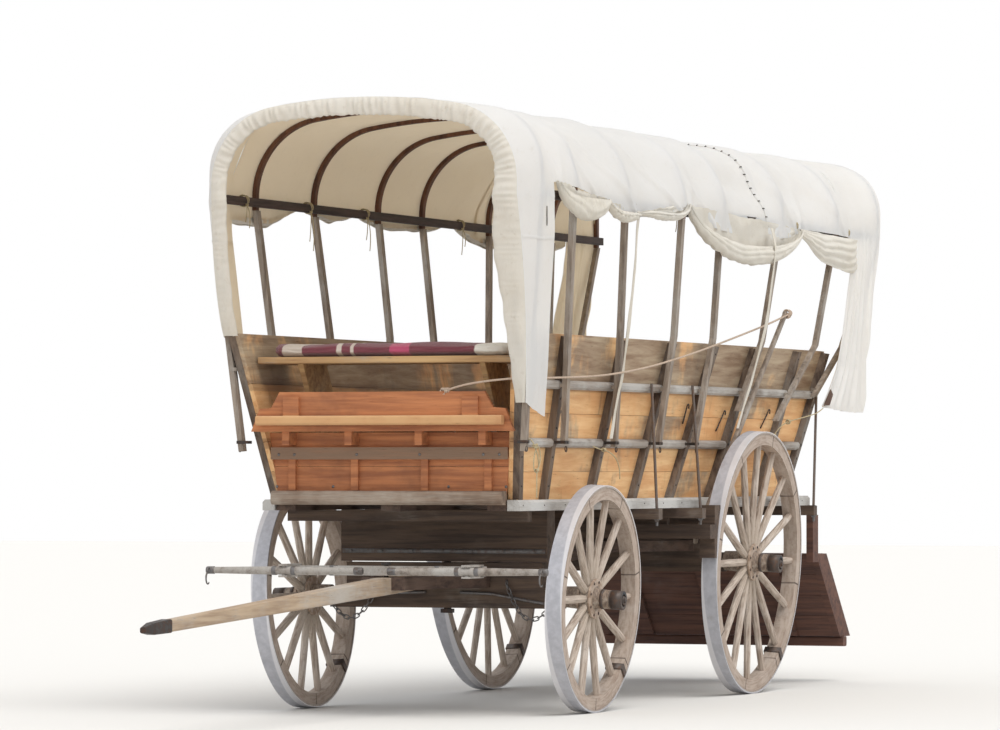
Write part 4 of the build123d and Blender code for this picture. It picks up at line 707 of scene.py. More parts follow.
def arch(ahead, share, low_left, low_right):
    """Give the cover's point and outward normal at a station and a share of the way round.

    The share runs from 0 at the left lower edge to 1 at the right one. Each half is a straight side
    up to the spring, a round corner, and a flat arc to the crown, walked at an even pace.
    """
    half = np.interp(ahead, SECTIONS[:, 0], SECTIONS[:, 1])
    corner = np.interp(ahead, SECTIONS[:, 0], SECTIONS[:, 2])
    run = half - corner
    rise = run * CROWN_SLOPE
    spring = CROWN - corner - rise
    sweep = math.pi / 2 - 2 * np.arctan2(rise, run)
    knee_y, knee_z = run + corner * np.cos(sweep), spring + corner * np.sin(sweep)
    centre = (CROWN ** 2 - knee_z ** 2 - knee_y ** 2) / (2 * (CROWN - knee_z))
    wide = CROWN - centre
    arc = np.arcsin(knee_y / wide)
    sides = [spring - low_left, spring - low_right]
    corner_run, crown_run = corner * sweep, wide * arc
    whole = sides[0] + sides[1] + 2 * (corner_run + crown_run)
    gone = share * whole
    left = gone <= sides[0] + corner_run + crown_run
    side_run = np.where(left, sides[0], sides[1])
    gone = np.where(left, gone, whole - gone)
    up = np.clip(gone, 0, side_run)
    bend = np.clip(gone - side_run, 0, corner_run) / corner
    over = np.clip(gone - side_run - corner_run, 0, crown_run) / wide
    on_side, on_corner = gone < side_run, gone < side_run + corner_run
    y = np.where(on_side, half, np.where(on_corner, run + corner * np.cos(bend), wide * np.sin(arc - over)))
    z = np.where(on_side, spring - side_run + up,
                 np.where(on_corner, spring + corner * np.sin(bend), centre + wide * np.cos(arc - over)))
    tilt = np.where(on_side, 0, np.where(on_corner, bend, math.pi / 2 - arc + over))
    hand = np.where(left, 1.0, -1.0)
    points = np.stack([at(ahead) + 0 * y, hand * y, z], -1)
    normals = np.stack([0 * y, hand * np.cos(tilt), np.sin(tilt)], -1)
    return points, normals


def soft_noise(rng, x, y, scale_x, scale_y, waves=14):
    """Give smooth random waves in two parameters: a sum of sines with random directions and phases."""
    total = np.zeros(np.broadcast(x, y).shape)
    for _ in range(waves):
        angle, phase, size = rng.uniform(0, 2 * np.pi), rng.uniform(0, 2 * np.pi), rng.uniform(0.6, 1.6)
        along = x / scale_x * math.cos(angle) + y / scale_y * math.sin(angle)
        total += np.sin(along * 2 * np.pi * size + phase)
    return total / math.sqrt(waves)


# %% [markdown]
# Canvas looks bright outside and warm beige inside, because the light that gets through is brown.
# The inside's colour is painted warm beige for that light, and a Principled shader mixed with a little
# Translucent lets light through as well. The weave is two sets of fine waves across each other in the
# sheet's own UV map, in metres, and faint panels, dust and seams lie on it.

# %% Canvas finishes
def canvas_finish(name, base, shade, through, dirt):
    """Make woven cotton: fine weave, faint slubs, dirt, and light that comes through."""
    cloth = Finish(name, Sheen_Weight=0.15, Sheen_Roughness=0.5)
    uv = cloth.node("UVMap", {"uv_map": "UVMap"})
    u, v, _ = cloth.split(uv)
    weave = cloth.sum("SINE", u * 2600.0) * cloth.sum("SINE", v * 2600.0)
    slub = cloth.noise(cloth.join(u * 4.0, v * 60.0, 0.0), 6, 4, 0.6)
    cloud = cloth.noise(cloth.place(), 1.6, 5, 0.62)
    fine = cloth.noise(cloth.place(), 26, 5, 0.66, seed=2.0)
    base, shade, dust = paint(*base), paint(*shade), paint(186, 172, 150)
    colour = cloth.mix(cloth.spread(cloud * 0.6 + slub * 0.4, 0.4, 0.66) * 0.6, base, shade)
    colour = cloth.mix(cloth.spread(fine, 0.56, 0.72) * dirt, colour, dust)
    cloth.done(colour, 0.88, cloth.bump(weave * 0.35 + slub * 0.5 + fine * 0.6, 0.0012))
    # The light that comes through has one colour all over: about the mean of the pattern above
    clean = [SHADE_SHARE * s + (1 - SHADE_SHARE) * b for b, s in zip(base, shade)]
    even = [c + (d - c) * dirt * DUST_SHARE for c, d in zip(clean, dust)]
    glow = cloth.node("BsdfTranslucent", {}, {"Color": even})
    blend = cloth.node("MixShader", {}, {0: through, 1: Wire(cloth, cloth.shader.outputs[0]), 2: glow})
    cloth.feed(cloth.tree.nodes["Material Output"].inputs[0], blend)
    return cloth.material


SHADE_SHARE, DUST_SHARE = 0.15, 0.06
canvas_outside = canvas_finish("canvas outside", (244, 245, 246), (236, 236, 234), 0.4, 0.16)
# Painted light: the inside of the cover is painted warm beige for the brown light that comes through the
# cloth.
canvas_inside = canvas_finish("canvas inside", (242, 228, 203), (230, 214, 188), 0.55, 0.25)
canvas_rolled = canvas_finish("canvas rolled", (238, 234, 225), (220, 211, 194), 0.3, 0.35)
web_finish = canvas_finish("webbing", (222, 216, 204), (196, 186, 168), 0.1, 0.4)


def cloth_piece(name, points, finish, inside=None, thick=0.003, flip=False):
    """Make a sheet from a grid of points, with a UV map in metres and a real thickness."""
    rows, columns = points.shape[:2]
    faces = grid_faces(rows, columns)
    if flip:
        faces = faces[:, ::-1]
    piece = piece_from(name, points, faces.tolist(), finish, "root", "canvas")
    mesh = piece.data
    row_run = run_along(points[:, columns // 2])
    steps = np.linalg.norm(np.diff(points, axis=1), axis=2)
    column_run = np.concatenate([np.zeros((rows, 1)), np.cumsum(steps, axis=1)], axis=1)
    column_run -= column_run[:, columns // 2:columns // 2 + 1]
    u = np.repeat(row_run, columns)
    v = column_run.reshape(-1)
    corners = np.empty(len(mesh.loops), np.int32)
    mesh.loops.foreach_get("vertex_index", corners)
    layer = mesh.uv_layers.new(name="UVMap")
    layer.data.foreach_set("uv", np.stack([u[corners], v[corners]], 1).ravel())
    if inside is not None:
        mesh.materials.append(inside)
    edge_of = np.empty(len(mesh.loops), np.int32)
    mesh.loops.foreach_get("edge_index", edge_of)
    border = np.bincount(edge_of, minlength=len(mesh.edges)) == 1
    mesh.edges.foreach_set("use_edge_sharp", border)
    wall = piece.modifiers.new("cloth thickness", "SOLIDIFY")
    wall.thickness = thick
    wall.offset = -1
    wall.material_offset = 1 if inside is not None else 0
    return piece


def sheet_area(points):
    """Give the area of a grid of points, as two triangles a quad."""
    a, b = points[1:, 1:] - points[:-1, :-1], points[1:, :-1] - points[:-1, 1:]
    return float(np.linalg.norm(np.cross(a, b), axis=-1).sum() / 2)


# %% [markdown]
# The main sheet runs from the front flaps to the rear ones. On the left its lower edge rises at each
# tie and falls between. The swags of rolled cloth hang under it. On the right it falls in scallops.

# %% The main sheet
FRONT_EDGE, REAR_EDGE = 3.445, -1.600
# The left lower edge: station, height
LEFT_EDGE = np.array([
    (-1.60, 2.715), (-1.10, 2.726), (-0.62, 2.728), (-0.54, 2.690), (-0.42, 2.668), (-0.03, 2.640),
    (0.43, 2.644), (0.87, 2.661), (1.20, 2.697), (1.33, 2.765), (1.385, 2.785), (1.44, 2.765),
    (1.60, 2.715), (1.90, 2.690), (2.23, 2.672), (2.50, 2.695), (2.71, 2.735), (2.92, 2.774),
    (3.22, 2.796), (3.445, 2.806),
])
# The right lower edge: station, height
RIGHT_EDGE = np.array([
    (-1.60, 2.690), (-1.30, 2.645), (-0.90, 2.720), (-0.60, 2.660), (-0.33, 2.640), (0.0, 2.680),
    (0.25, 2.750), (0.60, 2.700), (1.28, 2.685), (1.60, 2.720), (1.69, 2.758), (1.78, 2.720),
    (2.07, 2.690), (2.40, 2.730), (2.49, 2.765), (2.58, 2.720), (2.90, 2.640), (3.10, 2.632),
    (3.445, 2.640),
])
# Soft ridges on the left: station and height at the tie, station where it fades, width, height
RIDGES = [
    (2.71, 3.35, 0.055, 0.016), (2.20, 2.95, 0.060, 0.018), (1.385, 2.30, 0.070, 0.020),
    (1.385, 1.05, 0.060, 0.014), (-0.60, 0.10, 0.070, 0.018), (-0.60, -1.00, 0.060, 0.012),
    (3.42, 3.10, 0.050, 0.012), (0.90, 1.75, 0.080, 0.012), (-1.60, -0.80, 0.070, 0.012),
]


def edge_height(table, ahead):
    """Give the height of a lower edge, eased between the stations of its table."""
    low = np.interp(ahead, table[:, 0], table[:, 1])
    near = [np.interp(ahead + step, table[:, 0], table[:, 1]) for step in (-0.03, 0.03)]
    return (low * 2 + near[0] + near[1]) / 4


def between_bows(ahead):
    """Give 0 over a bow and 1 midway between two, rising quickly."""
    place = np.searchsorted(BOW_TOPS, ahead).clip(1, len(BOW_TOPS) - 1)
    back, front = BOW_TOPS[place - 1] + 0.024, BOW_TOPS[place] - 0.024
    share = np.clip((ahead - back) / (front - back), 0, 1)
    return np.sin(np.pi * share) ** 0.8 * np.minimum((front - back) / 0.9, 1.2)


def cover(rows, columns, rear, front, low_left, low_right, seed):
    """Give the grid of a stretch of the cover, with its sag, ridges and puckers."""
    rng = np.random.default_rng(seed)
    ahead = np.linspace(rear, front, rows)[:, None] + np.zeros((1, columns))
    share = np.linspace(0, 1, columns)[None, :] + np.zeros((rows, 1))
    points, normals = arch(ahead, share, low_left(ahead), low_right(ahead))
    z, left = points[..., 2], points[..., 1] > 0
    shoulder = np.exp(-((z - 2.98) / 0.16) ** 2)
    sag = between_bows(ahead) * (0.016 + 0.050 * shoulder)
    sag = sag + between_bows(ahead) * np.exp(-((ahead - 0.15) / 0.8) ** 2) * shoulder * 0.035 * left
    lift = np.zeros(z.shape)
    rise = np.clip((z - 2.66) / (CROWN - 2.66), 0, 1)
    for tie, fades, width, height in RIDGES:
        line = tie + (fades - tie) * rise
        spread = width * (0.35 + 1.3 * rise)
        lift += left * height * np.exp(-((ahead - line) / spread) ** 2) * (1 - rise) ** 0.5 * (rise > 0)
    lift += soft_noise(rng, ahead, share * 3, 0.55, 0.50) * 0.0035
    lift += soft_noise(rng, ahead, share * 3, 0.16, 0.30) * 0.0012
    pucker = np.exp(-np.abs(z - np.where(left, low_left(ahead), low_right(ahead))) / 0.05)
    lift += pucker * soft_noise(rng, ahead, share * 3, 0.07, 0.4) * 0.004
    over_bow = 1 - np.exp(-(np.min(np.abs(ahead[..., None] - BOW_TOPS), axis=-1) / 0.05) ** 2)
    return points + normals * (np.maximum(lift, lift * over_bow) * 0.9 - sag)[..., None]


main_grid = cover(300, 150, REAR_EDGE, FRONT_EDGE, lambda a: edge_height(LEFT_EDGE, a),
                  lambda a: edge_height(RIGHT_EDGE, a), 5)
canopy = cloth_piece("canopy_sheet", main_grid, canvas_outside, canvas_inside, flip=True)
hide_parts("canopy_roof")
print("main sheet", round(sheet_area(main_grid), 2), "square metres")

# %% [markdown]
# At the front the sheet goes on over the first bow and down both sides as flaps, the left one long.
# At the bottom a flap lies against the bow's leg. Its front edge turns in to a crease. The section
# at each height is therefore walked from the rear edge, along the leg, to the crease.

# %% Front bonnet and flaps
LEG_FACE_LOW = (1.440, 0.791)
LEG_LEAN = 0.0873
FLAP_JOIN = CANVAS_LOW.z
LEG_CLOTH = 0.037


def leg_front(z):
    """Give the station of the first leg's front edge at a height, with a little room."""
    return np.interp(z, [1.40, 2.05, 2.70], [3.560, 3.625, 3.655]) + 0.031


def crease_at(z, low):
    """Give a flap's crease at a height: share of the way up, the leg's outer face, station and Y."""
    share = (z - low) / (FLAP_JOIN - low)
    outer = LEG_FACE_LOW[1] + LEG_LEAN * (z - LEG_FACE_LOW[0]) + LEG_CLOTH
    foot = leg_front(low) + 0.020
    ahead = foot + (SECTIONS[-1, 0] - foot) * share
    return share, outer, ahead, (outer - 0.008) + (SECTIONS[-1, 1] - outer + 0.008) * share


def flap_grid(side, low, rear_low, rows, columns, seed):
    """Give the grid of a front flap: rows go down, columns go from its rear edge to the front crease."""
    rng = np.random.default_rng(seed)
    z = np.linspace(FLAP_JOIN, low, rows)[:, None]
    share, outer, crease, crease_y = crease_at(z, low)
    rear = rear_low + (FRONT_EDGE - rear_low) * share
    bend = leg_front(z)
    w = np.linspace(0, 1, columns)[None, :]
    first = np.clip((bend - rear) / (crease - rear), 0.05, 0.95)
    on_leg = np.clip(w / first, 0, 1)
    turned_in = np.clip((w - first) / (1 - first), 0, 1)
    ahead = rear + (bend - rear) * on_leg + (crease - bend) * turned_in
    y = outer + (crease_y - outer) * (turned_in ** 1.2)
    fold = soft_noise(rng, w * 0.30 + 0 * z, z, 0.11, 1.1) * 0.0045 * (1 - share)
    fold = fold + 0.010 * np.exp(-((w - 0.45) / 0.10) ** 2) * (1 - share)
    y = y + np.maximum(fold, -0.001)
    up = z + foot_rise(share) * (w ** 1.5) - 0.02 * (1 - w) * (1 - share) ** 6
    return np.stack([at(ahead) + 0 * y, side * y, up], -1)


def foot_rise(share):
    """Give how far the flap's foot is drawn up at the crease, fading out upwards."""
    return 0.050 * (1 - share) ** 6


def sewn_to(grid, edge):
    """Move a grid's first row onto an edge, and let the move fade out over the rows below it."""
    order = np.argsort(edge[:, 0])
    head = np.stack([np.interp(grid[0, :, 0], edge[order, 0], edge[order, i]) for i in range(3)], -1)
    fade = np.clip(1 - (grid[0, 0, 2] - grid[..., 2:3]) / 0.20, 0, 1)
    fade = fade * fade * (3 - 2 * fade)
    return grid + (head - grid[0])[None] * fade


def low_of(value):
    return lambda ahead: value + 0 * ahead


bonnet_grid = cover(34, 150, FRONT_EDGE - 0.004, SECTIONS[-1, 0], low_of(FLAP_JOIN), low_of(FLAP_JOIN), 6)
bonnet = cloth_piece("bonnet_sheet", bonnet_grid, canvas_outside, canvas_inside, flip=True)
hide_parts("canopy_roof")
FLAP_LOW = {1: 1.600, -1: 1.960}
FLAP_REAR = {1: 3.360, -1: 3.385}
flap_surface = {}
for side, hand in SIDES:
    low = FLAP_LOW[side]
    grid = flap_grid(side, low, FLAP_REAR[side], 90, 40, 8 + side)
    grid = sewn_to(grid, bonnet_grid[:, 0 if side > 0 else -1])
    flap_surface[side] = grid
    flap = cloth_piece(f"front_flap_{hand}", grid, canvas_outside, canvas_inside, flip=side > 0)
    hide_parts("front_flaps")
    print("front flap", hand, round(sheet_area(grid), 3))

# %% [markdown]
# The front edge is gathered on a drawstring and faces forward, all the way round from the left
# flap's foot to the right one's. It is a strip carried along the crease: one parameter follows the
# crease, the other goes inwards. Pleats are waves along the crease that grow towards the inner edge.

# %% The gathered hem
def front_crease(side, rows):
    """Give the crease line of a flap, from its foot up to the bonnet."""
    z = np.linspace(FLAP_LOW[side], FLAP_JOIN, rows)
    share, _, ahead, y = crease_at(z, FLAP_LOW[side])
    return np.stack([at(ahead), side * y, z + foot_rise(share)], 1)


def hem_grid():
    """Give the grid of the hem: rows follow the crease, columns go in from it and round the edge."""
    rng = np.random.default_rng(21)
    over, normals = arch(np.full(420, SECTIONS[-1, 0]), np.linspace(0, 1, 420), FLAP_JOIN, FLAP_JOIN)
    left, right = front_crease(1, 260), front_crease(-1, 180)[::-1]
    path = np.concatenate([left[:-1], over, right[1:]])
    inwards = np.concatenate([np.tile([0.0, -1.0, 0.0], (len(left) - 1, 1)), -normals,
                              np.tile([0.0, 1.0, 0.0], (len(right) - 1, 1))])
    run = run_along(path)
    width = np.interp(run / run[-1], [0, 0.035, 0.08, 0.14, 0.21, 0.28, 0.34, 0.5, 0.66, 1],
                      [0.045, 0.078, 0.108, 0.136, 0.158, 0.126, 0.102, 0.098, 0.082, 0.085])
    width = (width + soft_noise(rng, run, 0 * run, 0.22, 1.0) * 0.004)[:, None]
    gather = np.interp(run / run[-1], [0, 0.18, 0.26, 0.34, 0.66, 0.74, 0.84, 1],
                       [0.05, 0.16, 0.45, 1.0, 1.0, 0.6, 0.2, 0.1])[:, None]
    phase = run / 0.040 * 2 * np.pi + 3.2 * soft_noise(rng, run, 0 * run, 0.20, 1.0)
    slow = 3.0 * soft_noise(rng, run, 0 * run, 0.3, 1.0)[:, None]
    phase, run = phase[:, None], run[:, None]
    # Across the hem: how far in each column lies, and how far back the edge rolls
    v = np.array([0, 0.05, 0.12, 0.2, 0.3, 0.42, 0.54, 0.66, 0.78, 0.88, 0.95, 1.0, 1.02, 1.0, 0.94])[None]
    back = np.array([0, 3, 7, 10, 12, 13, 12, 11, 9, 7, 4, 0, -5, -11, -14])[None] * 0.001
    inside = np.clip(v, 0, 1)
    pleat = np.sin(phase) * 0.0042 * gather * np.sin(np.pi * inside ** 0.7) ** 0.7
    wave = np.sin((run + 0.35 * v * width) / 0.075 * 2 * np.pi + slow) * 0.0060 * gather * inside
    limp = soft_noise(rng, run + 0 * v, v + 0 * run, 0.35, 0.9)
    wave = wave + limp * 0.007 * (1 - gather) * np.sin(np.pi * inside)
    inner = v * width + np.cos(phase) * 0.0022 * (v > 0.8) * gather
    points = path[:, None] + inwards[:, None] * inner[..., None]
    points[..., 0] += back + pleat + wave
    return points


hem_points = hem_grid()
hem = cloth_piece("gathered_hem", hem_points, canvas_rolled, canvas_inside, 0.004)
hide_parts("front_hem")
print("hem", round(sheet_area(hem_points), 3), "square metres")

# %% [markdown]
# At the rear the cover runs past the last bow and hangs down both sides. The flap's front edge was
# pulled forward to a tie on the rail, so it sweeps in a long curve and leaves a wide foot.

# %% The rear end
# The rear flap's front and rear edges: height, station
REAR_FLAP_FRONT = np.array([(1.685, -1.012), (1.80, -1.165), (1.910, -1.290), (2.150, -1.420),
                            (2.520, -1.590), (2.760, -1.596)])
REAR_FLAP_BACK = np.array([(1.650, -1.870), (2.190, -1.975), (2.640, -2.150), (2.760, -2.180)])


def rear_flap_grid(side, rows, columns):
    """Give the grid of a rear flap: rows go down between its two edges, with long soft folds."""
    rng = np.random.default_rng(31 + side)
    down = np.linspace(0, 1, rows)[:, None]
    w = np.linspace(0, 1, columns)[None, :]
    foot = 1.685 + (1.650 - 1.685) * w - 0.012 * np.sin(np.pi * w)
    z = FLAP_JOIN + (foot - FLAP_JOIN) * down
    front = np.interp(z, REAR_FLAP_FRONT[:, 0], REAR_FLAP_FRONT[:, 1])
    back = np.interp(z, REAR_FLAP_BACK[:, 0], REAR_FLAP_BACK[:, 1])
    ahead = front + (back - front) * w
    lean = -0.012 * down ** 1.5
    fan = (w - 0.05) * (1.25 - 0.45 * down)
    fold = soft_noise(rng, fan * 0.6, z, 0.085, 1.8) * 0.011 * np.clip(down * 2.2, 0, 1)
    pull = 0.010 * np.exp(-((w - 0.35 - 0.5 * (1 - down)) / 0.12) ** 2) * down
    y = HALF - 0.002 + lean + np.minimum(fold + pull, 0.016)
    return np.stack([at(ahead), side * y, z + 0 * w], -1)


rear_grid = cover(44, 150, -2.180, REAR_EDGE + 0.004, low_of(FLAP_JOIN), low_of(FLAP_JOIN), 9)
rear_cover = cloth_piece("rear_sheet", rear_grid, canvas_outside, canvas_inside, flip=True)
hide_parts("canopy_roof")
for side, hand in SIDES:
    grid = rear_flap_grid(side, 90, 80)
    grid = sewn_to(grid, rear_grid[:, 0 if side > 0 else -1])
    flap = cloth_piece(f"rear_flap_{hand}", grid, canvas_outside, canvas_inside, flip=side < 0)
    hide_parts("rear_flaps")
    print("rear flap", hand, round(sheet_area(grid), 3))

# %% [markdown]
# ## The rolled sides
# The side curtains are rolled up and tied to the long rail. Between ties a roll sags under its own
# weight. Its section is a trough: an inner wall down from the rail, a round bottom, and an outer
# wall up to a lip that lies lower than the cover's edge, so the pocket inside shows. The folds run
# lengthwise and draw together at the ties.

# %% Swags on the left
# Each swag: front tie, rear tie (station, height), lowest height of the roll, lip height in the
# middle, thickness, height of its lip at the rear tie
LEFT_SWAGS = [
    ((3.420, 2.800), (2.683, 2.742), 2.622, 2.735, 0.060),
    ((2.683, 2.742), (2.198, 2.682), 2.640, 2.690, 0.045),
    ((2.198, 2.690), (1.385, 2.778), 2.676, 2.712, 0.050),
    ((1.385, 2.770), (-0.600, 2.715), 2.482, 2.585, 0.066),
]


def swag_grid(front, back, low, lip, thick, seed, rows=110, columns=46):
    """Give the grid of one swag: rows from tie to tie, columns round the trough.

    Along the roll, a share s from 0 to 1 gives the depth (4 s (1 - s)) to a power, flat in the middle.
    Round it, an angle runs from the inner wall's top, under the bottom, to the outer lip.
    """
    rng = np.random.default_rng(seed)
    s = np.linspace(0, 1, rows)[:, None]
    c = np.linspace(0, 1, columns)[None, :]
    belly = np.clip(4 * s * (1 - s), 0, 1) ** 0.62
    tie_z = front[1] + (back[1] - front[1]) * s
    base = front[0] + (back[0] - front[0]) * s
    bottom = tie_z - (tie_z - low) * belly
    lip_z = tie_z - (tie_z - lip) * belly
    width = thick * (0.30 + 0.70 * belly)
    inner_y = HALF - 0.006
    wall = np.clip(c / 0.38, 0, 1)
    under = np.clip((c - 0.38) / 0.30, 0, 1)
    outer = np.clip((c - 0.68) / 0.32, 0, 1)
    turn = under * math.pi
    half = width / 2
    floor_z = bottom + np.minimum(half, (tie_z - bottom) * 0.5 + 0.006)
    z = tie_z + 0.010 + (floor_z - tie_z - 0.010) * wall
    z = np.where(under > 0, floor_z - np.minimum(half, floor_z - bottom) * np.sin(turn), z)
    z = np.where(outer > 0, floor_z + (lip_z - floor_z) * outer, z)
    y = inner_y + half * (1 - np.cos(turn)) * (under > 0)
    y = np.where(outer > 0, inner_y + width + 0.006 * np.sin(outer * math.pi) - 0.010 * outer ** 2 * belly, y)
    fold = np.sin(c * 2 * math.pi * 5.2 + 2.2 * soft_noise(rng, s * 1.5 + 0 * c, c, 0.8, 1.0))
    fold = fold * 0.0038 * belly ** 0.7
    crease = soft_noise(rng, s * 2.0, c * 0.6, 0.16, 0.25) * 0.0035 * belly ** 0.5
    pinch = np.exp(-np.minimum(s, 1 - s) / 0.05)
    gathers = np.sin(c * 2 * math.pi * 9.0) * 0.004 * pinch
    z = z + (fold + crease) * np.cos(turn * 0.5) * 0.7 + gathers * 0.5
    y = y + fold * 0.8 + crease + gathers
    y = np.maximum(y, inner_y - 0.004)
    return np.stack([at(base) + crease * 0.5, y, z], -1)


def trail_curtain(rows=90, columns=40):
    """Give the grid of the last curtain: pleats fan from its front tie and gather at its low rear tip."""
    rng = np.random.default_rng(47)
    s = np.linspace(0, 1, rows)[:, None]
    c = np.linspace(0, 1, columns)[None, :]
    front, back = -0.600, -1.690
    upper = 2.722 - 0.020 * s + 0 * c
    lower = np.interp(s, [0, 0.12, 0.35, 0.6, 0.8, 0.93, 1],
                      [2.690, 2.640, 2.545, 2.515, 2.500, 2.500, 2.530])
    z = upper + (lower - upper) * c
    ahead = front + (back - front) * s + 0.020 * np.sin(c * math.pi) * s
    depth = np.sin(math.pi * np.clip(c, 0, 1)) * 0.030 * np.sin(math.pi * s) ** 0.5
    pleat = np.sin((c * 4.5 + s * 1.2) * 2 * math.pi + soft_noise(rng, s + 0 * c, c, 0.5, 1.0)) * 0.008
    pleat = pleat * (0.3 + 0.7 * s) * np.sin(math.pi * np.clip(s, 0.02, 0.98)) ** 0.4
    y = HALF + 0.004 + depth + pleat + soft_noise(rng, s, c, 0.2, 0.4) * 0.003
    return np.stack([at(ahead), np.maximum(y, HALF - 0.004), z], -1)


for number, (front, back, low, lip, thick) in enumerate(LEFT_SWAGS):
    grid = swag_grid(front, back, low, lip, thick, 40 + number)
    swag = cloth_piece(f"swag_left_{number + 1}", grid, canvas_rolled, canvas_rolled, 0.0035, flip=True)
    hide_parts("swags")
    length = round(front[0] - back[0], 2)
    flat = (round(sheet_area(grid) / length, 3), length)
curtain = cloth_piece("swag_left_5", trail_curtain(), canvas_rolled, canvas_rolled, 0.0035)
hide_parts("swags")
print("swags on the left", len(LEFT_SWAGS) + 1)

# %% [markdown]
# On the right the same curtain is rolled tighter: a thin roll follows the cover's scalloped edge.

# %% The roll on the right
def edge_roll(rows=420, columns=22):
    """Give a rolled hem along the right lower edge: a spiral section that leans with the scallops."""
    rng = np.random.default_rng(53)
    ahead = np.linspace(REAR_EDGE, FRONT_EDGE, rows)[:, None]
    a = np.linspace(-0.5 * math.pi, 1.9 * math.pi, columns)[None, :]
    edge = edge_height(RIGHT_EDGE, ahead)
    swell = np.clip((2.775 - edge) / 0.12, 0.15, 1)
    radius = (0.010 + 0.012 * swell) * (1 - 0.10 * (a / math.pi))
    radius = radius * (1 + 0.10 * soft_noise(rng, ahead, a, 0.2, 3.0))
    y = HALF + 0.012 + radius * np.cos(a)
    z = edge + 0.010 + radius * np.sin(a) * 1.25
    return np.stack([at(ahead) + 0 * y, -y, z], -1)


roll_grid = edge_roll()
roll = cloth_piece("swag_right", roll_grid, canvas_rolled, canvas_rolled, 0.003)
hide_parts("swags")
print("roll", round(sheet_area(roll_grid), 3), "square metres")

# %% [markdown]
# ## Straps and ties
# Two pale webbing straps hold the cover down. Each runs from the cover's edge to the low rail, and
# is pulled tight. A cloth simulation would lose something this thin, so a strap is a flat strip
# carried along its path: a centre line, a width across it, a slight cup and small waves.

# %% Straps
SIDE_FOOT = (1.143, 0.670)
SIDE_FLARE = 0.14767
RAIL_THICK = 0.0426


def side_face(z, thick=0.0):
    """Give the Y of the left side's outer face at a height, or of a layer this thick on it."""
    return SIDE_FOOT[1] + SIDE_FLARE * (z - SIDE_FOOT[0]) + thick * 1.011


def leg_face(z, thick=0.028):
    """Give the Y of the bow legs' outer face at a height, or of a layer this far from the inner one."""
    return LEG_FACE_LOW[1] + LEG_LEAN * (z - LEG_FACE_LOW[0]) + thick * 1.004


def eased(route, count):
    """Give evenly spaced points of a path through a route's corners, eased a little."""
    route = np.asarray(route, float)
    run = run_along(route)
    along = np.linspace(0, run[-1], count)
    path = np.stack([np.interp(along, run, route[:, i]) for i in range(3)], 1)
    for _ in range(3):
        path[1:-1] = (path[:-2] + 2 * path[1:-1] + path[2:]) / 4
    return path


def strap_grid(route, rows=90, columns=7):
    """Give the grid of a strap: its width lies along the wagon, cupped a little, with small waves."""
    path = eased([(at(ahead), y, z) for ahead, y, z in route], rows)
    across = np.linspace(-0.5, 0.5, columns)[None, :]
    rng = np.random.default_rng(61)
    edge = STRAP_WIDE * (1 + 0.05 * soft_noise(rng, np.arange(rows)[:, None] * 0.02, 0, 0.3, 1.0))
    cup = 0.004 * (across * 2) ** 2
    points = path[:, None] + np.stack([across * edge, cup + 0 * edge, 0 * across * edge], -1)
    points[..., 1] += soft_noise(rng, path[:, 2:3], across, 0.35, 2.0) * 0.0025
    return points


# Each strap: station, Y and height of its route, from the cover's edge down to the low rail
STRAPS = {
    "strap_front": [(2.266, 0.962, 2.700), (2.262, 0.952, 2.600), (2.259, 0.935, 2.383),
                    (2.264, 0.900, 2.058), (2.262, 0.862, 1.790), (2.262, 0.850, 1.744),
                    (2.290, 0.830, 1.600), (2.330, 0.826, 1.470)],
    "strap_rear": [(0.010, 0.962, 2.705), (0.041, 0.998, 2.600), (0.055, 0.996, 2.520),
                   (0.091, 0.955, 2.137), (0.176, 0.886, 1.784), (0.262, 0.846, 1.573),
                   (0.275, 0.842, 1.540)],
}
STRAP_WIDE = 0.036
for name, route in STRAPS.items():
    grid = strap_grid(route)
    strap = cloth_piece(name, grid, web_finish)
    length = float(run_along(grid[:, 3])[-1])
    print(name, "length", round(length, 3))

# %% [markdown]
# Where a roll is tied to the long rail, a thin cord is wound round both and knotted. On the far side
# the knots' ends hang down inside the cover.

# %% Rail ties
def loose_end(start, lean, length):
    """Give points and faces of a hanging cord end: it leaves the knot sideways and falls in a curve."""
    t = np.linspace(0, 1, 14)
    ahead = start[0] + lean * (1 - (1 - t) ** 2.2)
    z = start[2] - length * t ** 1.25
    y = start[1] + 0.010 * np.sin(t * 2.6)
    return tube(np.stack([ahead, y, z], 1), TWINE_D / 2, 7)


# Each tie: station, side, height, lengths of its two loose ends
TIES = [
    (3.450, 1, 2.745, 0.05, 0.03), (2.690, 1, 2.742, 0.10, 0.05), (2.200, 1, 2.742, 0.05, 0.03),
    (1.390, 1, 2.742, 0.09, 0.14), (-0.600, 1, 2.742, 0.07, 0.12), (-1.600, 1, 2.742, 0.03, 0.04),
    (3.350, -1, 2.742, 0.09, 0.12), (2.490, -1, 2.742, 0.16, 0.21), (1.690, -1, 2.742, 0.12, 0.18),
    (0.250, -1, 2.742, 0.15, 0.10), (-0.900, -1, 2.742, 0.10, 0.14),
]
TWINE_D = 0.005
tie_parts = []
for ahead, side, z, first, second in TIES:
    knot = (at(ahead), side * 0.872, z - 0.026)
    tie_parts += [
        wound_cord((at(ahead), side * 0.894, z), 0.0305, 2.6, 0.008, TWINE_D, "X"),
        wound_cord((at(ahead), side * 0.872, z - 0.022), 0.007, 2.0, 0.005, TWINE_D, "Z"),
        loose_end(knot, 0.03, first), loose_end(knot, -0.02, second),
    ]
mesh_piece("rail_ties", tie_parts, cord_finish, slot="rope")
print("rail ties", len(TIES))

# %% [markdown]
# Three thin cords are tied at the low rail: a looped hank at the front leg, a knot with one long end
# at the third leg, and one that holds the rear flap's corner. Each follows its own smooth spline.

# %% Loose cords
TIE_D = 0.007


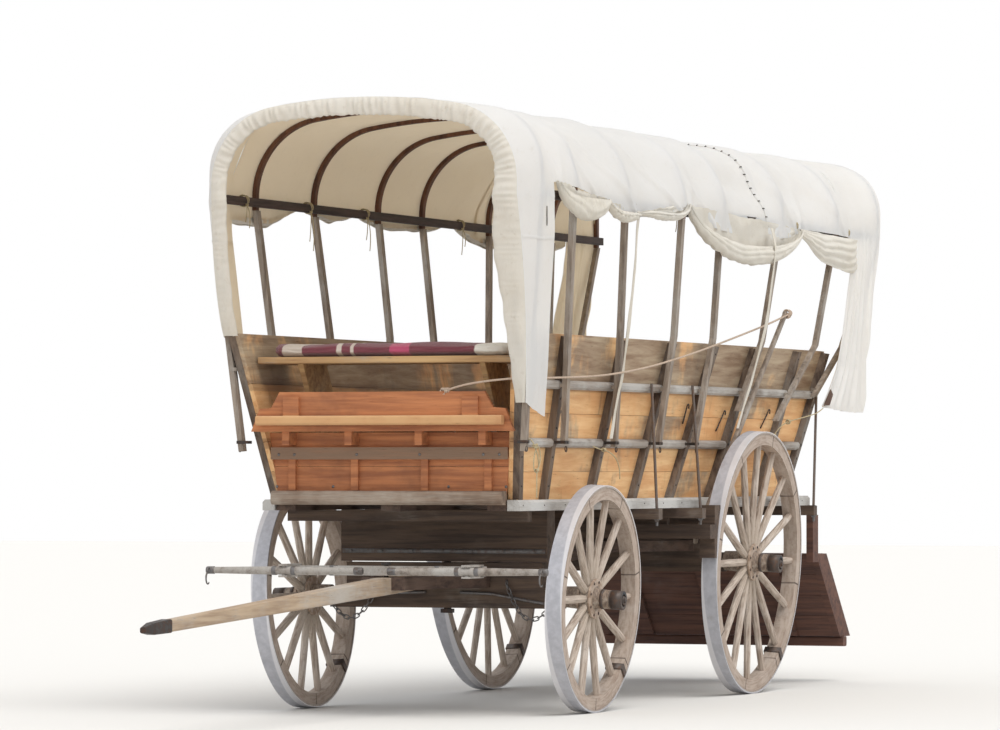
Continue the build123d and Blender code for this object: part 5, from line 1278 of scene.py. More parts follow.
def thin_cord(name, route, knots):
    """Make a thin laid cord along a route's spline, with knots on it, and print its length."""
    exit_point = (at(route[0][0]), route[0][1], route[0][2])
    line = smooth_line(name + " line", route, 24)
    cord = mesh_piece(name, [laid_rope(line, TIE_D, 0.030, 9)], cord_finish, slot="rope")
    on_it = [mesh_piece(name + "_knots", knots, cord_finish, slot="rope")]
    print(name, "length", round(float(run_along(line)[-1]), 3))


HANK = [
    (3.520, 0.775, 1.447), (3.535, 0.800, 1.462), (3.548, 0.832, 1.462), (3.556, 0.856, 1.438),
    (3.545, 0.862, 1.405), (3.520, 0.864, 1.375),
    (3.500, 0.862, 1.335), (3.505, 0.858, 1.300), (3.530, 0.856, 1.285), (3.556, 0.856, 1.300),
    (3.566, 0.857, 1.340), (3.556, 0.860, 1.385), (3.545, 0.866, 1.420), (3.530, 0.872, 1.425),
    (3.512, 0.874, 1.395), (3.505, 0.872, 1.350), (3.515, 0.868, 1.315), (3.535, 0.866, 1.300),
    (3.545, 0.868, 1.270), (3.546, 0.868, 1.230), (3.547, 0.868, 1.190), (3.548, 0.868, 1.155),
]
thin_cord("front_hank", HANK, [
    wound_cord((at(3.545), 0.858, 1.425), 0.013, 2.5, 0.008, TIE_D, "Z"),
    wound_cord((at(3.532), 0.862, 1.296), 0.009, 2.2, 0.008, TIE_D, "X"),
])
THIRD_END = [
    (2.455, 0.772, 1.428), (2.440, 0.782, 1.420), (2.405, 0.794, 1.412), (2.370, 0.806, 1.407),
    (2.330, 0.822, 1.396), (2.298, 0.838, 1.375), (2.275, 0.850, 1.340), (2.260, 0.854, 1.300),
    (2.258, 0.854, 1.250),
]
thin_cord("third_leg_cord", THIRD_END, [
    wound_cord((at(2.375), 0.804, 1.408), 0.009, 2.4, 0.008, TIE_D, "X"),
])
CORNER_TIE = [
    (-0.470, 0.774, 1.447), (-0.462, 0.786, 1.462), (-0.470, 0.806, 1.492), (-0.490, 0.830, 1.530),
    (-0.520, 0.850, 1.562), (-0.560, 0.868, 1.580), (-0.620, 0.886, 1.594), (-0.700, 0.902, 1.605),
    (-0.780, 0.916, 1.616), (-0.860, 0.930, 1.628), (-0.930, 0.942, 1.642), (-1.000, 0.950, 1.668),
]
thin_cord("rear_flap_tie", CORNER_TIE, [
    wound_cord((at(-0.575), 0.872, 1.584), 0.012, 3.0, 0.008, TIE_D, "X"),
    wound_cord((at(-0.478), 0.816, 1.508), 0.010, 2.0, 0.007, TIE_D, "Z"),
])

# %% [markdown]
# ## Seams, lacing and a patch
# The rear half of the cover laps over the front half, and a dark lace goes in and out along the lap.
# The lap is a narrow strip that follows the cover's own surface, a few millimetres out.

# %% The laced lap
def on_grid(grid, row, column):
    """Give a grid's points at rows and columns between its own, and the four corners round each."""
    low_row = np.floor(row).astype(int).clip(0, grid.shape[0] - 2)
    low_column = np.floor(column).astype(int).clip(0, grid.shape[1] - 2)
    a, b = (row - low_row)[..., None], (column - low_column)[..., None]
    corner = [grid[low_row + i, low_column + j] for i in (0, 1) for j in (0, 1)]
    points = (corner[0] * (1 - b) + corner[1] * b) * (1 - a) + (corner[2] * (1 - b) + corner[3] * b) * a
    return points, corner


def over_cover(ahead, share, out):
    """Give points this far outside the main sheet, at stations and shares of the way round."""
    row = (ahead - REAR_EDGE) / (FRONT_EDGE - REAR_EDGE) * (main_grid.shape[0] - 1)
    points, corner = on_grid(main_grid, row, share * (main_grid.shape[1] - 1))
    normal = np.cross(corner[2] - corner[0], corner[1] - corner[0])
    normal /= np.linalg.norm(normal, axis=-1, keepdims=True)
    inner_point = np.array([0, 0, 2.2])
    outward = np.sign(((points - inner_point) * normal * [0, 1, 1]).sum(-1, keepdims=True))
    return points + normal * outward * out


LAP_WIDE = 0.055
LAP_EDGE = -0.035
along_lap = np.linspace(0.012, 0.988, 320)[:, None]
across_lap = np.linspace(0, 1, 8)[None, :]
rise = 0.0015 + 0.0045 * np.clip(across_lap * 3, 0, 1) * np.clip((1.02 - across_lap) * 14, 0.1, 1)
wander = 0.006 * np.sin(along_lap * 23.0) + 0.004 * np.sin(along_lap * 61.0)
lap_grid = over_cover(LAP_EDGE - LAP_WIDE + LAP_WIDE * across_lap + wander, along_lap + 0 * across_lap,
                      (rise + 0 * along_lap)[..., None])
lap = cloth_piece("cover_lap", lap_grid, canvas_outside, canvas_inside, 0.002)


def stitches(shares, ahead, reach, thick, out):
    """Give lace stitches as short bent tubes over an edge, one at each share of the way round."""
    parts = []
    for share in shares:
        t = np.linspace(-1, 1, 7)
        path, lifted = [over_cover(ahead + reach * t, np.full(7, share) + 0.0006 * t, up)
                        for up in (0.0, 0.01)]
        path = path + (lifted - path) * ((out + 0.004 * (1 - t ** 2)) / 0.01)[:, None]
        parts.append(tube(path, thick / 2, 6))
    return parts


black_lace = rope_finish("black lace", (52, 48, 46), (28, 26, 26))
lace_shares = np.linspace(0.03, 0.97, 47)
mesh_piece("cover_lace", stitches(lace_shares, LAP_EDGE, 0.011, 0.006, 0.003), black_lace, slot="rope")
print("lace stitches", len(lace_shares))

# %% [markdown]
# The flap has a seam at about the height of the swags, and a buttonhole for the strap. The rear
# flap's corner has a sewn patch for its tie.

# %% Flap seam, buttonhole and patch
def on_flap(z, share, side=1, out=0.0):
    """Give points on a front flap at heights and shares of its width, this far outside it."""
    grid = flap_surface[side]
    row = (FLAP_JOIN - z) / (FLAP_JOIN - FLAP_LOW[side]) * (grid.shape[0] - 1)
    return on_grid(grid, row, share * (grid.shape[1] - 1))[0] + np.array([0, side * out, 0])


def flap_strip(side, hand):
    """Make a seam's folded strip across a flap at a height."""
    share = np.linspace(0.02, 0.98, 60)[:, None]
    across = np.linspace(-0.5, 0.5, 7)[None, :] * 2
    height = SEAM_HEIGHT + across * SEAM_WIDE / 2 + 0.003 * np.sin(share * 9.0)
    grid = on_flap(height, share + 0 * across, side)
    grid[..., 1] += side * (0.0012 + 0.0014 * np.clip(1.15 - np.abs(across) ** 3, 0, 1))
    strip = cloth_piece(f"flap_seam_{hand}", grid, canvas_outside, canvas_inside, 0.0015, flip=side > 0)


SEAM_HEIGHT, SEAM_WIDE = 2.505, 0.016
for side, hand in SIDES:
    flap_strip(side, hand)
slot_t = np.linspace(0, 2 * np.pi, 40)
slot_z = 2.622 + 0.050 * np.sign(np.sin(slot_t)) * np.abs(np.sin(slot_t)) ** 0.6
slot_share = 0.33 + 0.014 * np.cos(slot_t)
thread_finish = canvas_finish("sewn thread", (150, 146, 140), (108, 104, 100), 0.05, 0.5)
slot_path = on_flap(slot_z, slot_share, out=0.003)
mesh_piece("flap_buttonhole", [tube(slot_path, 0.0024, 6)], thread_finish, slot="canvas")
patch_leather = rope_finish("patch leather", (96, 66, 50), (62, 44, 36))
patch_u, patch_v = np.linspace(0, 1, 12)[:, None], np.linspace(0, 1, 12)[None, :]
patch_z = 1.684 + 0.10 * patch_v * (1 - patch_u * 0.35) + 0.004 * patch_u
patch_ahead = np.interp(patch_z, REAR_FLAP_FRONT[:, 0], REAR_FLAP_FRONT[:, 1])
patch_ahead = patch_ahead - 0.012 - 0.105 * patch_u + 0.02 * patch_v * patch_u
patch_grid = np.stack([at(patch_ahead), HALF + 0.006 + 0 * patch_z, patch_z], -1)
patch = cloth_piece("rear_flap_patch", patch_grid, patch_leather, thick=0.004, flip=True)
print("seams and patch made")

# %% [markdown]
# ## The seat blanket
# A woollen blanket, folded to a pad, lies on the front seat: dark red, with a cream end and one
# bright stripe. A padded piece is best swollen by a cloth simulation: a smaller closed shape gets
# even faces, air pressure pushes it out, and the wrinkles come by themselves. Then the fold between
# its two layers is pressed in.

# %% The blanket
SEAT_LOW, SEAT_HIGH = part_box("seat_cushion")


def pad_shape(inset, sides=72, slices=120):
    """Give a rounded pad's points and faces: a squarish ring, scaled in towards both ends.

    A ring point is (a sign(cos)|cos|^0.35, b sign(sin)|sin|^0.6); the scale is (1 - |t|^12)^(1/3).
    """
    half = [(high - low) / 2 - inset for low, high in zip(SEAT_LOW, SEAT_HIGH)]
    centre = (SEAT_LOW + SEAT_HIGH) / 2
    t = np.sin(np.linspace(-math.pi / 2 * 0.985, math.pi / 2 * 0.985, slices))[:, None]
    a = circle(sides)[None, :]
    scale = (1 - np.abs(t) ** 12) ** (1 / 3)
    x = half[0] * np.sign(np.cos(a)) * np.abs(np.cos(a)) ** 0.35 * (0.25 + 0.75 * scale)
    z = half[2] * np.sign(np.sin(a)) * np.abs(np.sin(a)) ** 0.6 * (0.35 + 0.65 * scale)
    points = np.stack([centre.x + x, centre.y + half[1] * t + 0 * a, centre.z + z], -1)
    faces = grid_faces(slices, sides, round_columns=True).tolist()
    faces += [list(range(sides))[::-1], list(range((slices - 1) * sides, slices * sides))]
    return points.reshape(-1, 3), faces


def applied(piece):
    """Put a piece's modified mesh in place of its own, and remove the modifiers."""
    made = bpy.data.meshes.new_from_object(piece.evaluated_get(bpy.context.evaluated_depsgraph_get()))
    piece.modifiers.clear()
    piece.data = made
    return made


def coordinates(mesh):
    """Read a mesh's points as one array."""
    points = np.empty(len(mesh.vertices) * 3)
    mesh.vertices.foreach_get("co", points)
    return points.reshape(-1, 3)


def swell(piece, voxel, pressure, most, frames=20):
    """Swell a closed piece by air pressure, with a cap on how far any point may move."""
    remesh = piece.modifiers.new("even faces", "REMESH")
    remesh.mode = "VOXEL"
    remesh.voxel_size = voxel
    mesh = applied(piece)
    before = coordinates(mesh)
    wool = piece.modifiers.new("wool", "CLOTH").settings
    wool.use_pressure = True
    wool.uniform_pressure_force = pressure
    wool.effector_weights.gravity = 0.0
    wool.quality = 4
    wool.tension_stiffness = 12
    wool.compression_stiffness = 12
    wool.bending_stiffness = 0.4
    wool.shrink_min = -0.03
    for frame_number in range(1, frames + 1):
        scene.frame_set(frame_number)
    mesh = applied(piece)
    moved = coordinates(mesh) - before
    far = np.linalg.norm(moved, axis=1, keepdims=True)
    points = before + moved * np.minimum(1, most / np.maximum(far, 1e-9))
    mesh.vertices.foreach_set("co", points.ravel())
    scene.frame_set(1)
    print("swelled", piece.name, "faces", len(mesh.polygons), "moved up to", round(float(far.max()), 4))


def blanket_finish():
    """Make striped wool by the place across the seat: dark red, one bright stripe, a cream end."""
    wool = Finish("seat blanket wool", Sheen_Weight=0.35, Sheen_Roughness=0.6)
    where = wool.place()
    x, y, z = wool.split(where)
    y = y + wool.noise(where, 9, 3, 0.5) * 0.02 - 0.01
    fibre = wool.noise(wool.place(scale=(1, 3, 1)), 260, 4, 0.7)
    twill = wool.sum("SINE", (x + y) * 1500.0) * wool.sum("SINE", (x - y) * 900.0)
    colour = wool.tones(fibre, 0.35, 0.65, (128, 50, 62), (92, 34, 46))
    colour = wool.tint(colour, y, 0.485, 0.495, 1.0, (226, 220, 208))
    pink = wool.spread(y, 0.005, 0.012) * wool.spread(y, 0.125, 0.118)
    colour = wool.mix(pink * 0.85, colour, paint(186, 66, 104))
    for low, high in ((-0.30, -0.27), (-0.22, -0.20), (-0.62, -0.50)):
        band = wool.spread(y, low, low + 0.006) * wool.spread(y, high + 0.006, high)
        colour = wool.mix(band * 0.8, colour, paint(214, 204, 188))
    colour = wool.tint(colour, fibre, 0.55, 0.75, 0.3, (150, 128, 118))
    return wool.done(colour, 0.95, wool.bump(fibre + twill * 0.3, 0.0022, 0.6))


def press_fold(points, layer_z):
    """Press the fold between the two layers into the pad's rim, and let its top lie unevenly.

    The rim moves in by up to 16 mm where it is within a few millimetres of a wavy line.
    """
    x, y, z = points.T
    from_middle = x - (SEAT_LOW.x + SEAT_HIGH.x) / 2
    rim = np.clip(np.abs(from_middle) / 0.21, 0, 1) ** 6
    rim = np.maximum(rim, np.clip(np.abs(y) / 0.70, 0, 1) ** 14)
    wavy = 0.004 * np.sin(y * 17.0) + 0.003 * np.sin(y * 41.0 + 1.0)
    press = np.exp(-((z - layer_z - wavy) / 0.0055) ** 2) * rim
    x -= np.sign(from_middle) * press * 0.016
    y -= np.sign(y) * press * 0.010 * (np.abs(y) > 0.66)
    top = np.clip((z - layer_z) / 0.03, 0, 1)
    z += top * (0.0045 * np.sin(y * 13.0 + x * 9.0) + 0.003 * np.sin(x * 31.0 + y * 7.0))
    z[:] = np.maximum(z, SEAT_LOW.z + 0.0005)


blanket_wool = blanket_finish()
blanket = piece_from("seat_blanket", *pad_shape(0.010), blanket_wool, "root", "blanket")
swell(blanket, 0.008, 4.0, 0.010)
wool_points = coordinates(blanket.data)
press_fold(wool_points, SEAT_LOW.z + 0.036)
blanket.data.vertices.foreach_set("co", wool_points.ravel())
blanket.data.polygons.foreach_set("use_smooth", np.full(len(blanket.data.polygons), True))
if len(blanket.data.materials) == 0:
    blanket.data.materials.append(blanket_wool)
blanket.data.update()
finer = blanket.modifiers.new("finer wool", "SUBSURF")
finer.levels = 1
finer.render_levels = 1
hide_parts("seat_cushion")

# %% [markdown]
# ## Small ironwork
# Rivets, nuts and knobs are all turned forms: a profile spun round an axis. There are hundreds, so
# one function works them all out as whole arrays, with only a few faces each.

# %% Turned forms, blocks and links
def turned(profile, bases, directions, sides=8, spin=0.0):
    """Give points and faces of turned forms at many bases.

    A point is base + direction h + (a cos t + b sin t) r for each (r, h) of the profile, where a and
    b are square to the direction.
    """
    profile = np.asarray(profile, float)
    bases = np.asarray(bases, float).reshape(-1, 3)
    out = np.broadcast_to(np.asarray(directions, float), bases.shape)
    out = out / np.linalg.norm(out, axis=1, keepdims=True)
    guide = np.where(np.abs(out[:, 2:3]) > 0.9, [[1.0, 0.0, 0.0]], [[0.0, 0.0, 1.0]])
    a = np.cross(guide, out)
    a /= np.linalg.norm(a, axis=1, keepdims=True)
    b = np.cross(out, a)
    t = circle(sides) + spin
    ring = a[:, None] * np.cos(t)[None, :, None] + b[:, None] * np.sin(t)[None, :, None]
    points = (bases[:, None, None] + out[:, None, None] * profile[None, :, 1, None, None]
              + ring[:, None] * profile[None, :, 0, None, None])
    count, rows = len(bases), len(profile)
    starts = (np.arange(count) * rows * sides)[:, None, None]
    quads = (grid_faces(rows, sides, round_columns=True)[None, :, ::-1] + starts).reshape(-1, 4).tolist()
    bottom = (np.arange(sides)[None, ::-1] + starts[:, 0]).tolist()
    top = (np.arange((rows - 1) * sides, rows * sides)[None] + starts[:, 0]).tolist()
    return points.reshape(-1, 3), quads + bottom + top


def blocks(centres, sizes):
    """Give points and faces of level boxes: each centre plus or minus half of each size."""
    centres = np.asarray(centres, float).reshape(-1, 1, 3)
    sizes = np.broadcast_to(np.asarray(sizes, float), (len(centres), 3))[:, None]
    signs = np.array([(x, y, z) for z in (-1, 1) for y in (-1, 1) for x in (-1, 1)])
    points = centres + signs[None] * sizes / 2
    box = np.array([(0, 2, 3, 1), (4, 5, 7, 6), (0, 1, 5, 4), (2, 6, 7, 3), (0, 4, 6, 2), (1, 3, 7, 5)])
    faces = (box[None] + (np.arange(len(centres)) * 8)[:, None, None]).reshape(-1, 4).tolist()
    return points.reshape(-1, 3), faces


def ring_of_rod(centre, radius, rod, level=False, sides=6, steps=18):
    """Give points and faces of a closed ring of round rod, upright across Y or level."""
    t = circle(steps)[:, None]
    a = circle(sides)[None, :]
    wide = radius + rod * np.cos(a)
    ring = np.stack([wide * np.cos(t), rod * np.sin(a) + 0 * t, wide * np.sin(t)], -1)
    faces = grid_faces(steps, sides, True, True)
    if level:
        ring = ring[..., [0, 2, 1]]
    else:
        faces = faces[:, ::-1]
    return (ring + np.asarray(centre)).reshape(-1, 3), faces.tolist()


def chain_links(path, pitch, rod, wide):
    """Give points and faces of a chain: links along a path, each turned a quarter from the last.

    A link's centre line is (l cos t, w sin t) with its ends drawn out, in the plane of the path's
    direction and one of two directions square to it.
    """
    run = run_along(path)
    count = int(run[-1] / pitch)
    place = (np.arange(count) + 0.5) * pitch
    centre = np.stack([np.interp(place, run, path[:, i]) for i in range(3)], 1)
    ahead, side, up = frames_along(centre)
    odd = (np.arange(count) % 2 == 1)[:, None]
    across = np.where(odd, up, side)
    third = np.cross(ahead, across)
    t, a = circle(16)[:, None], circle(6)[None]
    half = pitch / 2 + rod * 1.1
    ends = (half - wide) * np.sign(np.cos(t)) * (np.abs(np.cos(t)) > 0.05)
    l = ends + wide * np.cos(t) + rod * np.cos(t) * np.cos(a)
    w = wide * np.sin(t) + rod * np.sin(t) * np.cos(a)
    h = rod * np.sin(a) + 0 * l
    points = (centre[:, None, None] + ahead[:, None, None] * l[None, ..., None]
              + across[:, None, None] * w[None, ..., None] + third[:, None, None] * h[None, ..., None])
    one = grid_faces(16, 6, True, True)
    faces = (one[None] + (np.arange(count) * 96)[:, None, None]).reshape(-1, 4)
    return points.reshape(-1, 3), faces.tolist()


RIVET = [(0.0085, 0.0), (0.0085, 0.0012), (0.0068, 0.0038), (0.0030, 0.0052)]
NUT = [(0.0170, 0.0), (0.0170, 0.0105), (0.0145, 0.0125)]
WASHER = [(0.024, 0.0), (0.024, 0.0025)]


def rivet(wide=1.0, high=1.0):
    """Give a rivet head's profile, scaled in width and height."""
    return [(r * wide, h * high) for r, h in RIVET]



# %% [markdown]
# Each wheel carries its own irons: rivets through the hub's flange, bands on the hub, a square nut on
# the axle's end, and a clip that was put round a cracked rim. They are worked out square to the
# wheel's own axis, which tips out three degrees, and ride on the wheel.

# %% Wheel irons
CAMBER = math.radians(3.0)
FLANGE_OUT, FLANGE_THICK = 0.0043, 0.011
HUB_TIP = FLANGE_OUT + 0.168
FELLOE_INNER = 0.0765


def in_wheel(centre, side, along, radius, angle):
    """Give points at a distance out along the axle, a radius and an angle round it."""
    out = np.array([0.0, side * math.cos(CAMBER), -math.sin(CAMBER)])
    u = np.array([1.0, 0.0, 0.0])
    v = np.cross(u, out) * side
    along, radius, angle = np.broadcast_arrays(along, radius, angle)
    spread = np.cos(angle)[..., None] * u + np.sin(angle)[..., None] * v
    return np.asarray(centre) + along[..., None] * out + radius[..., None] * spread


def band_section(centre, side, radius, from_along, to_along, thick, steps=36):
    """Give points and faces of a flat band round the axle: a ring of four-cornered section."""
    t = circle(steps)[:, None]
    along = np.array([from_along, to_along, to_along, from_along])[None]
    r = np.array([radius + thick, radius + thick, radius, radius])[None]
    points = in_wheel(centre, side, along + 0 * t, r + 0 * t, t + 0 * r)
    faces = grid_faces(steps, 4, True, True)
    return points.reshape(-1, 3), (faces[:, ::-1] if side > 0 else faces).tolist()


def rim_clip(centre, side, rim, angle):
    """Give points and faces of a clip round the rim: a strip that follows the felloe's section."""
    deep, half, inner = rim - 0.0145, 0.0455, rim - FELLOE_INNER - 0.001
    outline = np.array([(-half, deep), (-half, inner), (half, inner), (half, deep)])
    outside = outline + [(-0.004, 0), (-0.004, -0.004), (0.004, -0.004), (0.004, 0)]
    section = np.concatenate([outline, outside[::-1]])[None]
    spread = np.array([-0.020, -0.012, 0.0, 0.012, 0.020])[:, None]
    points = in_wheel(centre, side, section[..., 0] + 0 * spread, section[..., 1] + 0 * spread,
                      angle + spread / section[..., 1])
    faces = tube_faces(5, 8)
    return points.reshape(-1, 3), faces if side > 0 else [face[::-1] for face in faces]


hub_iron = iron_finish("hub iron", (84, 76, 72), (120, 86, 64), 0.55)
for end, angle in (("rear", -130.0), ("front", -135.0)):
    for side, hand in SIDES:
        centre = middle(f"tyre_{end}_{hand}")
        out = (0.0, side * math.cos(CAMBER), -math.sin(CAMBER))
        ring = np.arange(8) * math.pi / 4 + 0.3
        on_tip = in_wheel(centre, side, HUB_TIP - 0.012, 0.0, 0.0)
        parts = [
            turned(RIVET, in_wheel(centre, side, FLANGE_OUT + FLANGE_THICK, 0.091, ring), out),
            band_section(centre, side, 0.0505, 0.050, 0.066, 0.0035),
            band_section(centre, side, 0.0470, HUB_TIP - 0.066, HUB_TIP - 0.001, 0.0045),
            turned([(0.0300, 0), (0.0300, 0.014), (0.0270, 0.017)], on_tip, out, 4, 0.5),
            turned([(0.0145, 0.016), (0.0145, 0.024), (0.0110, 0.0265)], on_tip, out, 12),
            rim_clip(centre, side, rim_radius(end, hand), math.radians(angle)),
        ]
        mesh_piece(f"wheel_irons_{end}_{hand}", parts, hub_iron, f"wheel_{end}_{hand}", "iron")
print("wheel irons made")

# %% [markdown]
# Along the sides: rivets where ribs cross the rails, bolts through the ledges and the outriggers,
# nuts under the stays, and cranked hooks on the panels that the cover's cords were once led to.

# %% Side irons
# Each rib: station of its foot, and its rake in degrees
RIBS = [(3.360, -18), (2.985, 0), (2.300, 13), (1.620, 20), (1.010, 26), (0.345, 28), (-0.530, 24),
        (-1.010, 27)]
RIVET_HEIGHTS = (1.215, 1.368, 1.523, 1.678, 1.850, 1.960)
RAIL_HEIGHTS = (1.447, 1.755)
STAY_STATIONS = (1.677, 0.951, -1.097)
LEG_STATIONS = (3.564, 2.981, 2.212, 1.509, 0.903)
# Each panel hook: station and height of its foot, then of its top
HOOKS = [((2.936, 1.559), (2.850, 1.645)), ((0.913, 1.560), (0.908, 1.655)), ((0.325, 1.523), (0.262, 1.625)),
         ((-0.467, 1.546), (-0.535, 1.640))]


def rib_station(foot, rake, z):
    """Give the station of a raked rib's centre line at a height."""
    return foot - math.tan(math.radians(rake)) * (z - SIDE_FOOT[0]) * 1.011


def crook(foot, top, side, rod=0.0042, bend=0.017):
    """Give a hook of round rod: up from its foot, over in a half circle towards the rear, and down."""
    (foot_x, foot_z), (top_x, top_z) = foot, top
    t = np.linspace(0, 1, 8)
    ahead, z = foot_x + (top_x - foot_x) * t, foot_z + (top_z - foot_z) * t
    a = np.linspace(0.1, 1.15, 10) * math.pi
    ahead = np.concatenate([ahead, top_x - bend + bend * np.cos(a)])
    z = np.concatenate([z, top_z + bend * np.sin(a)])
    off = np.concatenate([0.006 + 0.010 * t, np.full(10, 0.016)])
    y = side * (side_face(z) + off)
    return tube(np.stack([at(ahead), y, z], 1), rod, 7)


for side, hand in SIDES:
    outward = (0.0, side * 0.989, -0.146)
    on_rails = [(at(rib_station(foot, rake, z)), side * (side_face(z, RAIL_THICK) - 0.001), z)
                for foot, rake in RIBS[1:] for z in RAIL_HEIGHTS]
    on_ribs = [(at(rib_station(foot, rake, z)), side * (side_face(z, 0.038) - 0.0005), z)
               for foot, rake in RIBS for z in RIVET_HEIGHTS]
    on_ledge = [(at(ahead), side * 0.7345, 1.114) for ahead in np.arange(-1.25, 3.4, 0.31)]
    rivets = [turned(RIVET, on_rails, outward), turned(rivet(0.75, 0.8), on_ribs, outward, 6),
              turned(rivet(0.55, 0.6), on_ledge, (0, side, 0), 6)]
    mesh_piece(f"side_rivets_{hand}", rivets, black_iron, slot="iron")
    under, down = [(at(ahead), side * 0.858, 1.027) for ahead in STAY_STATIONS], (0, 0, -1)
    nuts = [turned(WASHER, under, down, 14), turned(NUT, under, down, 4, 0.4),
            turned([(0.0075, 0.01), (0.0075, 0.034), (0.005, 0.037)], under, down, 10)]
    mesh_piece(f"stay_nuts_{hand}", nuts, chain_iron, slot="iron", smooth=False)
    hooks = [crook(foot, top, side) for foot, top in HOOKS]
    mesh_piece(f"panel_hooks_{hand}", hooks, black_iron, slot="iron")
    clamp_parts = []
    z = RAIL_HEIGHTS[0]
    outer, inner = leg_face(z), side_face(z, RAIL_THICK)
    for ahead in LEG_STATIONS:
        clamp_parts += [
            blocks([(at(ahead), side * (outer + 0.002), z)], (0.056, 0.004, 0.016)),
            blocks([(at(ahead + s * 0.026), side * (outer + inner) / 2, z) for s in (-1, 1)],
                   (0.004, outer - inner - 0.001, 0.016)),
            turned(RIVET, [(at(ahead), side * (outer + 0.004), z)], (0, side, 0)),
            ring_of_rod((at(ahead), side * (outer - 0.004), z - 0.036), 0.014, 0.0035),
        ]
    clamps = mesh_piece(f"leg_clamps_{hand}", clamp_parts, black_iron, slot="iron", smooth=False)
    soften(clamps, 0.001, 1)
print("side irons made")

# %% [markdown]
# At the front end, bolts go through the batten and the end boards. The front axle has a thin truss
# rod before it and a chain that hangs in a loop, and a flat iron lies along the bolster's face.

# %% Front end irons
BATTEN_FACE, BOARD_FACE = 1.3190, 1.2850
batten_bolts = [(BATTEN_FACE - 0.001, y, 1.382) for y in (-0.630, -0.540, -0.18, 0.18, 0.540, 0.630)]
low_bolts = [(BOARD_FACE - 0.001, side * y, 1.212) for side in (-1, 1) for y in (0.655, 0.33)]
bolts = [turned(RIVET, places, (1, 0, 0)) for places in (batten_bolts, low_bolts)]
mesh_piece("end_board_bolts", bolts, chain_iron, slot="iron")
axle_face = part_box("sand_board")[1].x
rod_parts = []
chain_parts = []
for side in (1, -1):
    rod_path = eased([(axle_face + 0.010, side * 0.10, 0.640), (axle_face + 0.012, side * 0.28, 0.634),
                      (axle_face + 0.012, side * 0.56, 0.586), (axle_face - 0.03, side * 0.64, 0.572)], 30)
    rod_parts.append(tube(rod_path, 0.0075, 9))
    t = np.linspace(0, 1, 40)
    chain_path = np.stack([axle_face + 0.018 + 0.03 * np.sin(math.pi * t),
                           side * (0.371 + 0.30 * t),
                           0.690 - 0.085 * t - 0.150 * np.sin(math.pi * t ** 0.9)], 1)
    chain_parts.append(chain_links(chain_path, 0.030, 0.0035, 0.0105))
    for y, z in ((0.371, 0.694), (0.671, 0.607)):
        rod_parts.append(ring_of_rod((axle_face + 0.012, side * y, z), 0.012, 0.0035))
mesh_piece("axle_truss_rods", rod_parts, chain_iron, "front_gear", "iron")
mesh_piece("axle_chains", chain_parts, chain_iron, "front_gear", "iron")
bolster_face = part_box("front_bolster")[1].x
plate_bolts = [(bolster_face + 0.008, y, 0.862) for y in np.linspace(-0.54, 0.54, 7)]
mesh_piece("bolster_plate", [blocks([(bolster_face + 0.004, 0, 0.862)], (0.008, 1.18, 0.024)),
                             turned(RIVET, plate_bolts, (1, 0, 0), 6)], chain_iron, slot="iron")
print("front end irons made")

# %% [markdown]
# Each draft bar has iron ferrules on its ends: an open hook hangs from the outer one, and the inner
# one has a level ring, which clears the tongue as the bars swing. Straps go round the middle. The
# irons ride on their own bars.

# %% Draft bar irons
FERRULE = [(0.0185, 0), (0.0200, 0.002), (0.0200, 0.040), (0.0185, 0.0455), (0.0100, 0.0475)]
BAR_BAND = [(0.0232, -0.012), (0.0240, -0.010), (0.0240, 0.010), (0.0232, 0.012)]


def bar_hook(eye):
    """Give a tapered hook that hangs from a bar's eye and opens forward."""
    share = np.linspace(0, 1, 14)
    a = share * math.pi * 1.35
    away = -0.012 - 0.024 * (1 - np.cos(a)) - 0.018 * share
    path = np.stack([eye[0] + 0.012 + 0.020 * np.sin(a), np.full(14, eye[1]), eye[2] + away], 1)
    return tube(path, np.linspace(0.0055, 0.0032, 14), 8)


for side, hand in SIDES:
    low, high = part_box(f"singletree_{hand}")
    centre = (low + high) / 2
    parts = []
    for end_y, way in ((low.y, -1), (high.y, 1)):
        parts.append(turned(FERRULE, [(centre.x, end_y - way * 0.046, centre.z)], (0, way, 0), 20))
        outer = abs(end_y) > 0.5
        eye = (centre.x + 0.028, end_y - way * 0.022, centre.z)
        parts.append(ring_of_rod(eye, 0.012, 0.0045, level=not outer))
        if outer:
            parts.append(bar_hook(eye))
    bands = [(centre.x, centre.y + y, centre.z) for y in (-0.055, 0.055)]
    parts.append(turned(BAR_BAND, bands, (0, 1, 0), 20))
    mesh_piece(f"singletree_irons_{hand}", parts, chain_iron, f"singletree_{hand}", "iron")
evener_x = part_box("evener")[0].x + 0.039
evener_parts = [blocks([(evener_x, y, 0.7695) for y in (-0.30, 0.30)], (0.066, 0.026, 0.055)),
                blocks([(evener_x, y * 0.985, 0.7695) for y in (-0.56, 0.56)], (0.057, 0.012, 0.055))]
soften(mesh_piece("evener_irons", evener_parts, chain_iron, "evener", "iron"), 0.003, 2)
print("draft bar irons made")

# %% [markdown]
# The rear stair's boards are tongued. A thin tongue lies in each joint, so that no light comes through.

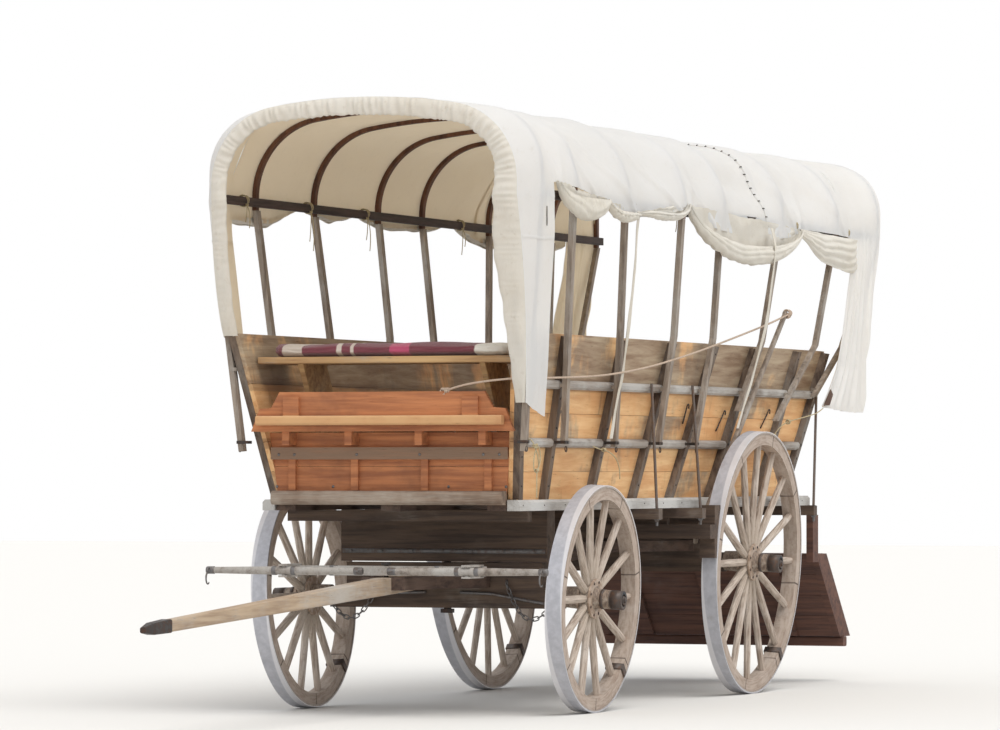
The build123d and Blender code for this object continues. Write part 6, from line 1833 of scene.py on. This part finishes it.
# %% Tongues of the rear stair
STAIR_TOP, STAIR_FOOT = (-1.400, 0.790), (-1.905, 0.235)
STAIR_LEAN = (STAIR_TOP[0] - STAIR_FOOT[0]) / (STAIR_TOP[1] - STAIR_FOOT[1])
joint_z = 0.276 + 0.12875 * np.arange(1, 4)
joint_x = at(STAIR_TOP[0] + STAIR_LEAN * (joint_z - STAIR_TOP[1])) - 0.0203
tongue_size = (0.010, 2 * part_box("step_boards")[1].y - 0.004, 0.014)
joints = blocks(np.stack([joint_x, 0 * joint_z, joint_z], 1), tongue_size)
mesh_piece("step_tongues", [joints], woods["step wood"], slot="step_wood")
print("stair tongues", len(joint_z))

# %% [markdown]
# ## Floor and light
# The wagon stands on a plain pale floor. The light is a soft overcast sky with one wide soft sun
# high on the camera's side. The background is white only for the camera and for reflections.

# %% Floor, sky and lamps
def plain_floor():
    """Make a wide plain floor at the ground."""
    mesh = bpy.data.meshes.new("floor_plane")
    corners = [(x * FLOOR_HALF, y * FLOOR_HALF, GROUND - 0.001)
               for x, y in ((-1, -1), (1, -1), (1, 1), (-1, 1))]
    mesh.from_pydata(corners, [], [(0, 1, 2, 3)])
    plane = bpy.data.objects.new("floor_plane", mesh)
    scene.collection.objects.link(plane)
    mesh.materials.append(Finish("pale floor").done(paint(222, 219, 214), 0.95))


def soft_sky():
    """Light the scene from all round, and show white to the camera, to gloss and through glass."""
    world = bpy.data.worlds.new("overcast")
    world.use_nodes = True
    scene.world = world
    nodes, link = world.node_tree.nodes, world.node_tree.links.new
    rays = nodes.new("ShaderNodeLightPath").outputs
    shown = rays["Is Camera Ray"]
    for kind in ("Is Transmission Ray", "Is Glossy Ray"):
        either = nodes.new("ShaderNodeMath")
        either.operation = "MAXIMUM"
        link(shown, either.inputs[0])
        link(rays[kind], either.inputs[1])
        shown = either.outputs[0]
    back, white = nodes["Background"], nodes.new("ShaderNodeBackground")
    for sky, colour, strength in ((back, (0.93, 0.96, 1.0, 1), SKY), (white, (1, 1, 1, 1), 1.0)):
        sky.inputs["Color"].default_value = colour
        sky.inputs["Strength"].default_value = strength
    mixed = nodes.new("ShaderNodeMixShader")
    for number, socket in enumerate((shown, back.outputs[0], white.outputs[0])):
        link(socket, mixed.inputs[number])
    link(mixed.outputs[0], nodes["World Output"].inputs["Surface"])


def soft_sun(name, direction, strength, spread, colour):
    """Add a sun lamp with a wide disc, so that its shadows are soft."""
    lamp = bpy.data.lights.new(name, "SUN")
    lamp.energy = strength
    lamp.angle = math.radians(spread)
    lamp.color = colour
    sun = bpy.data.objects.new(name, lamp)
    scene.collection.objects.link(sun)
    sun.rotation_mode = "QUATERNION"
    sun.rotation_quaternion = Vector(direction).to_track_quat("-Z", "Y")


SKY = 0.92
FLOOR_HALF = 60.0
plain_floor()
soft_sky()
soft_sun("main_sun", (-0.35, -0.45, -1.0), 1.8, 40, (1.0, 0.985, 0.96))
scene.view_settings.view_transform = "Standard"
print("floor, sky and sun made")
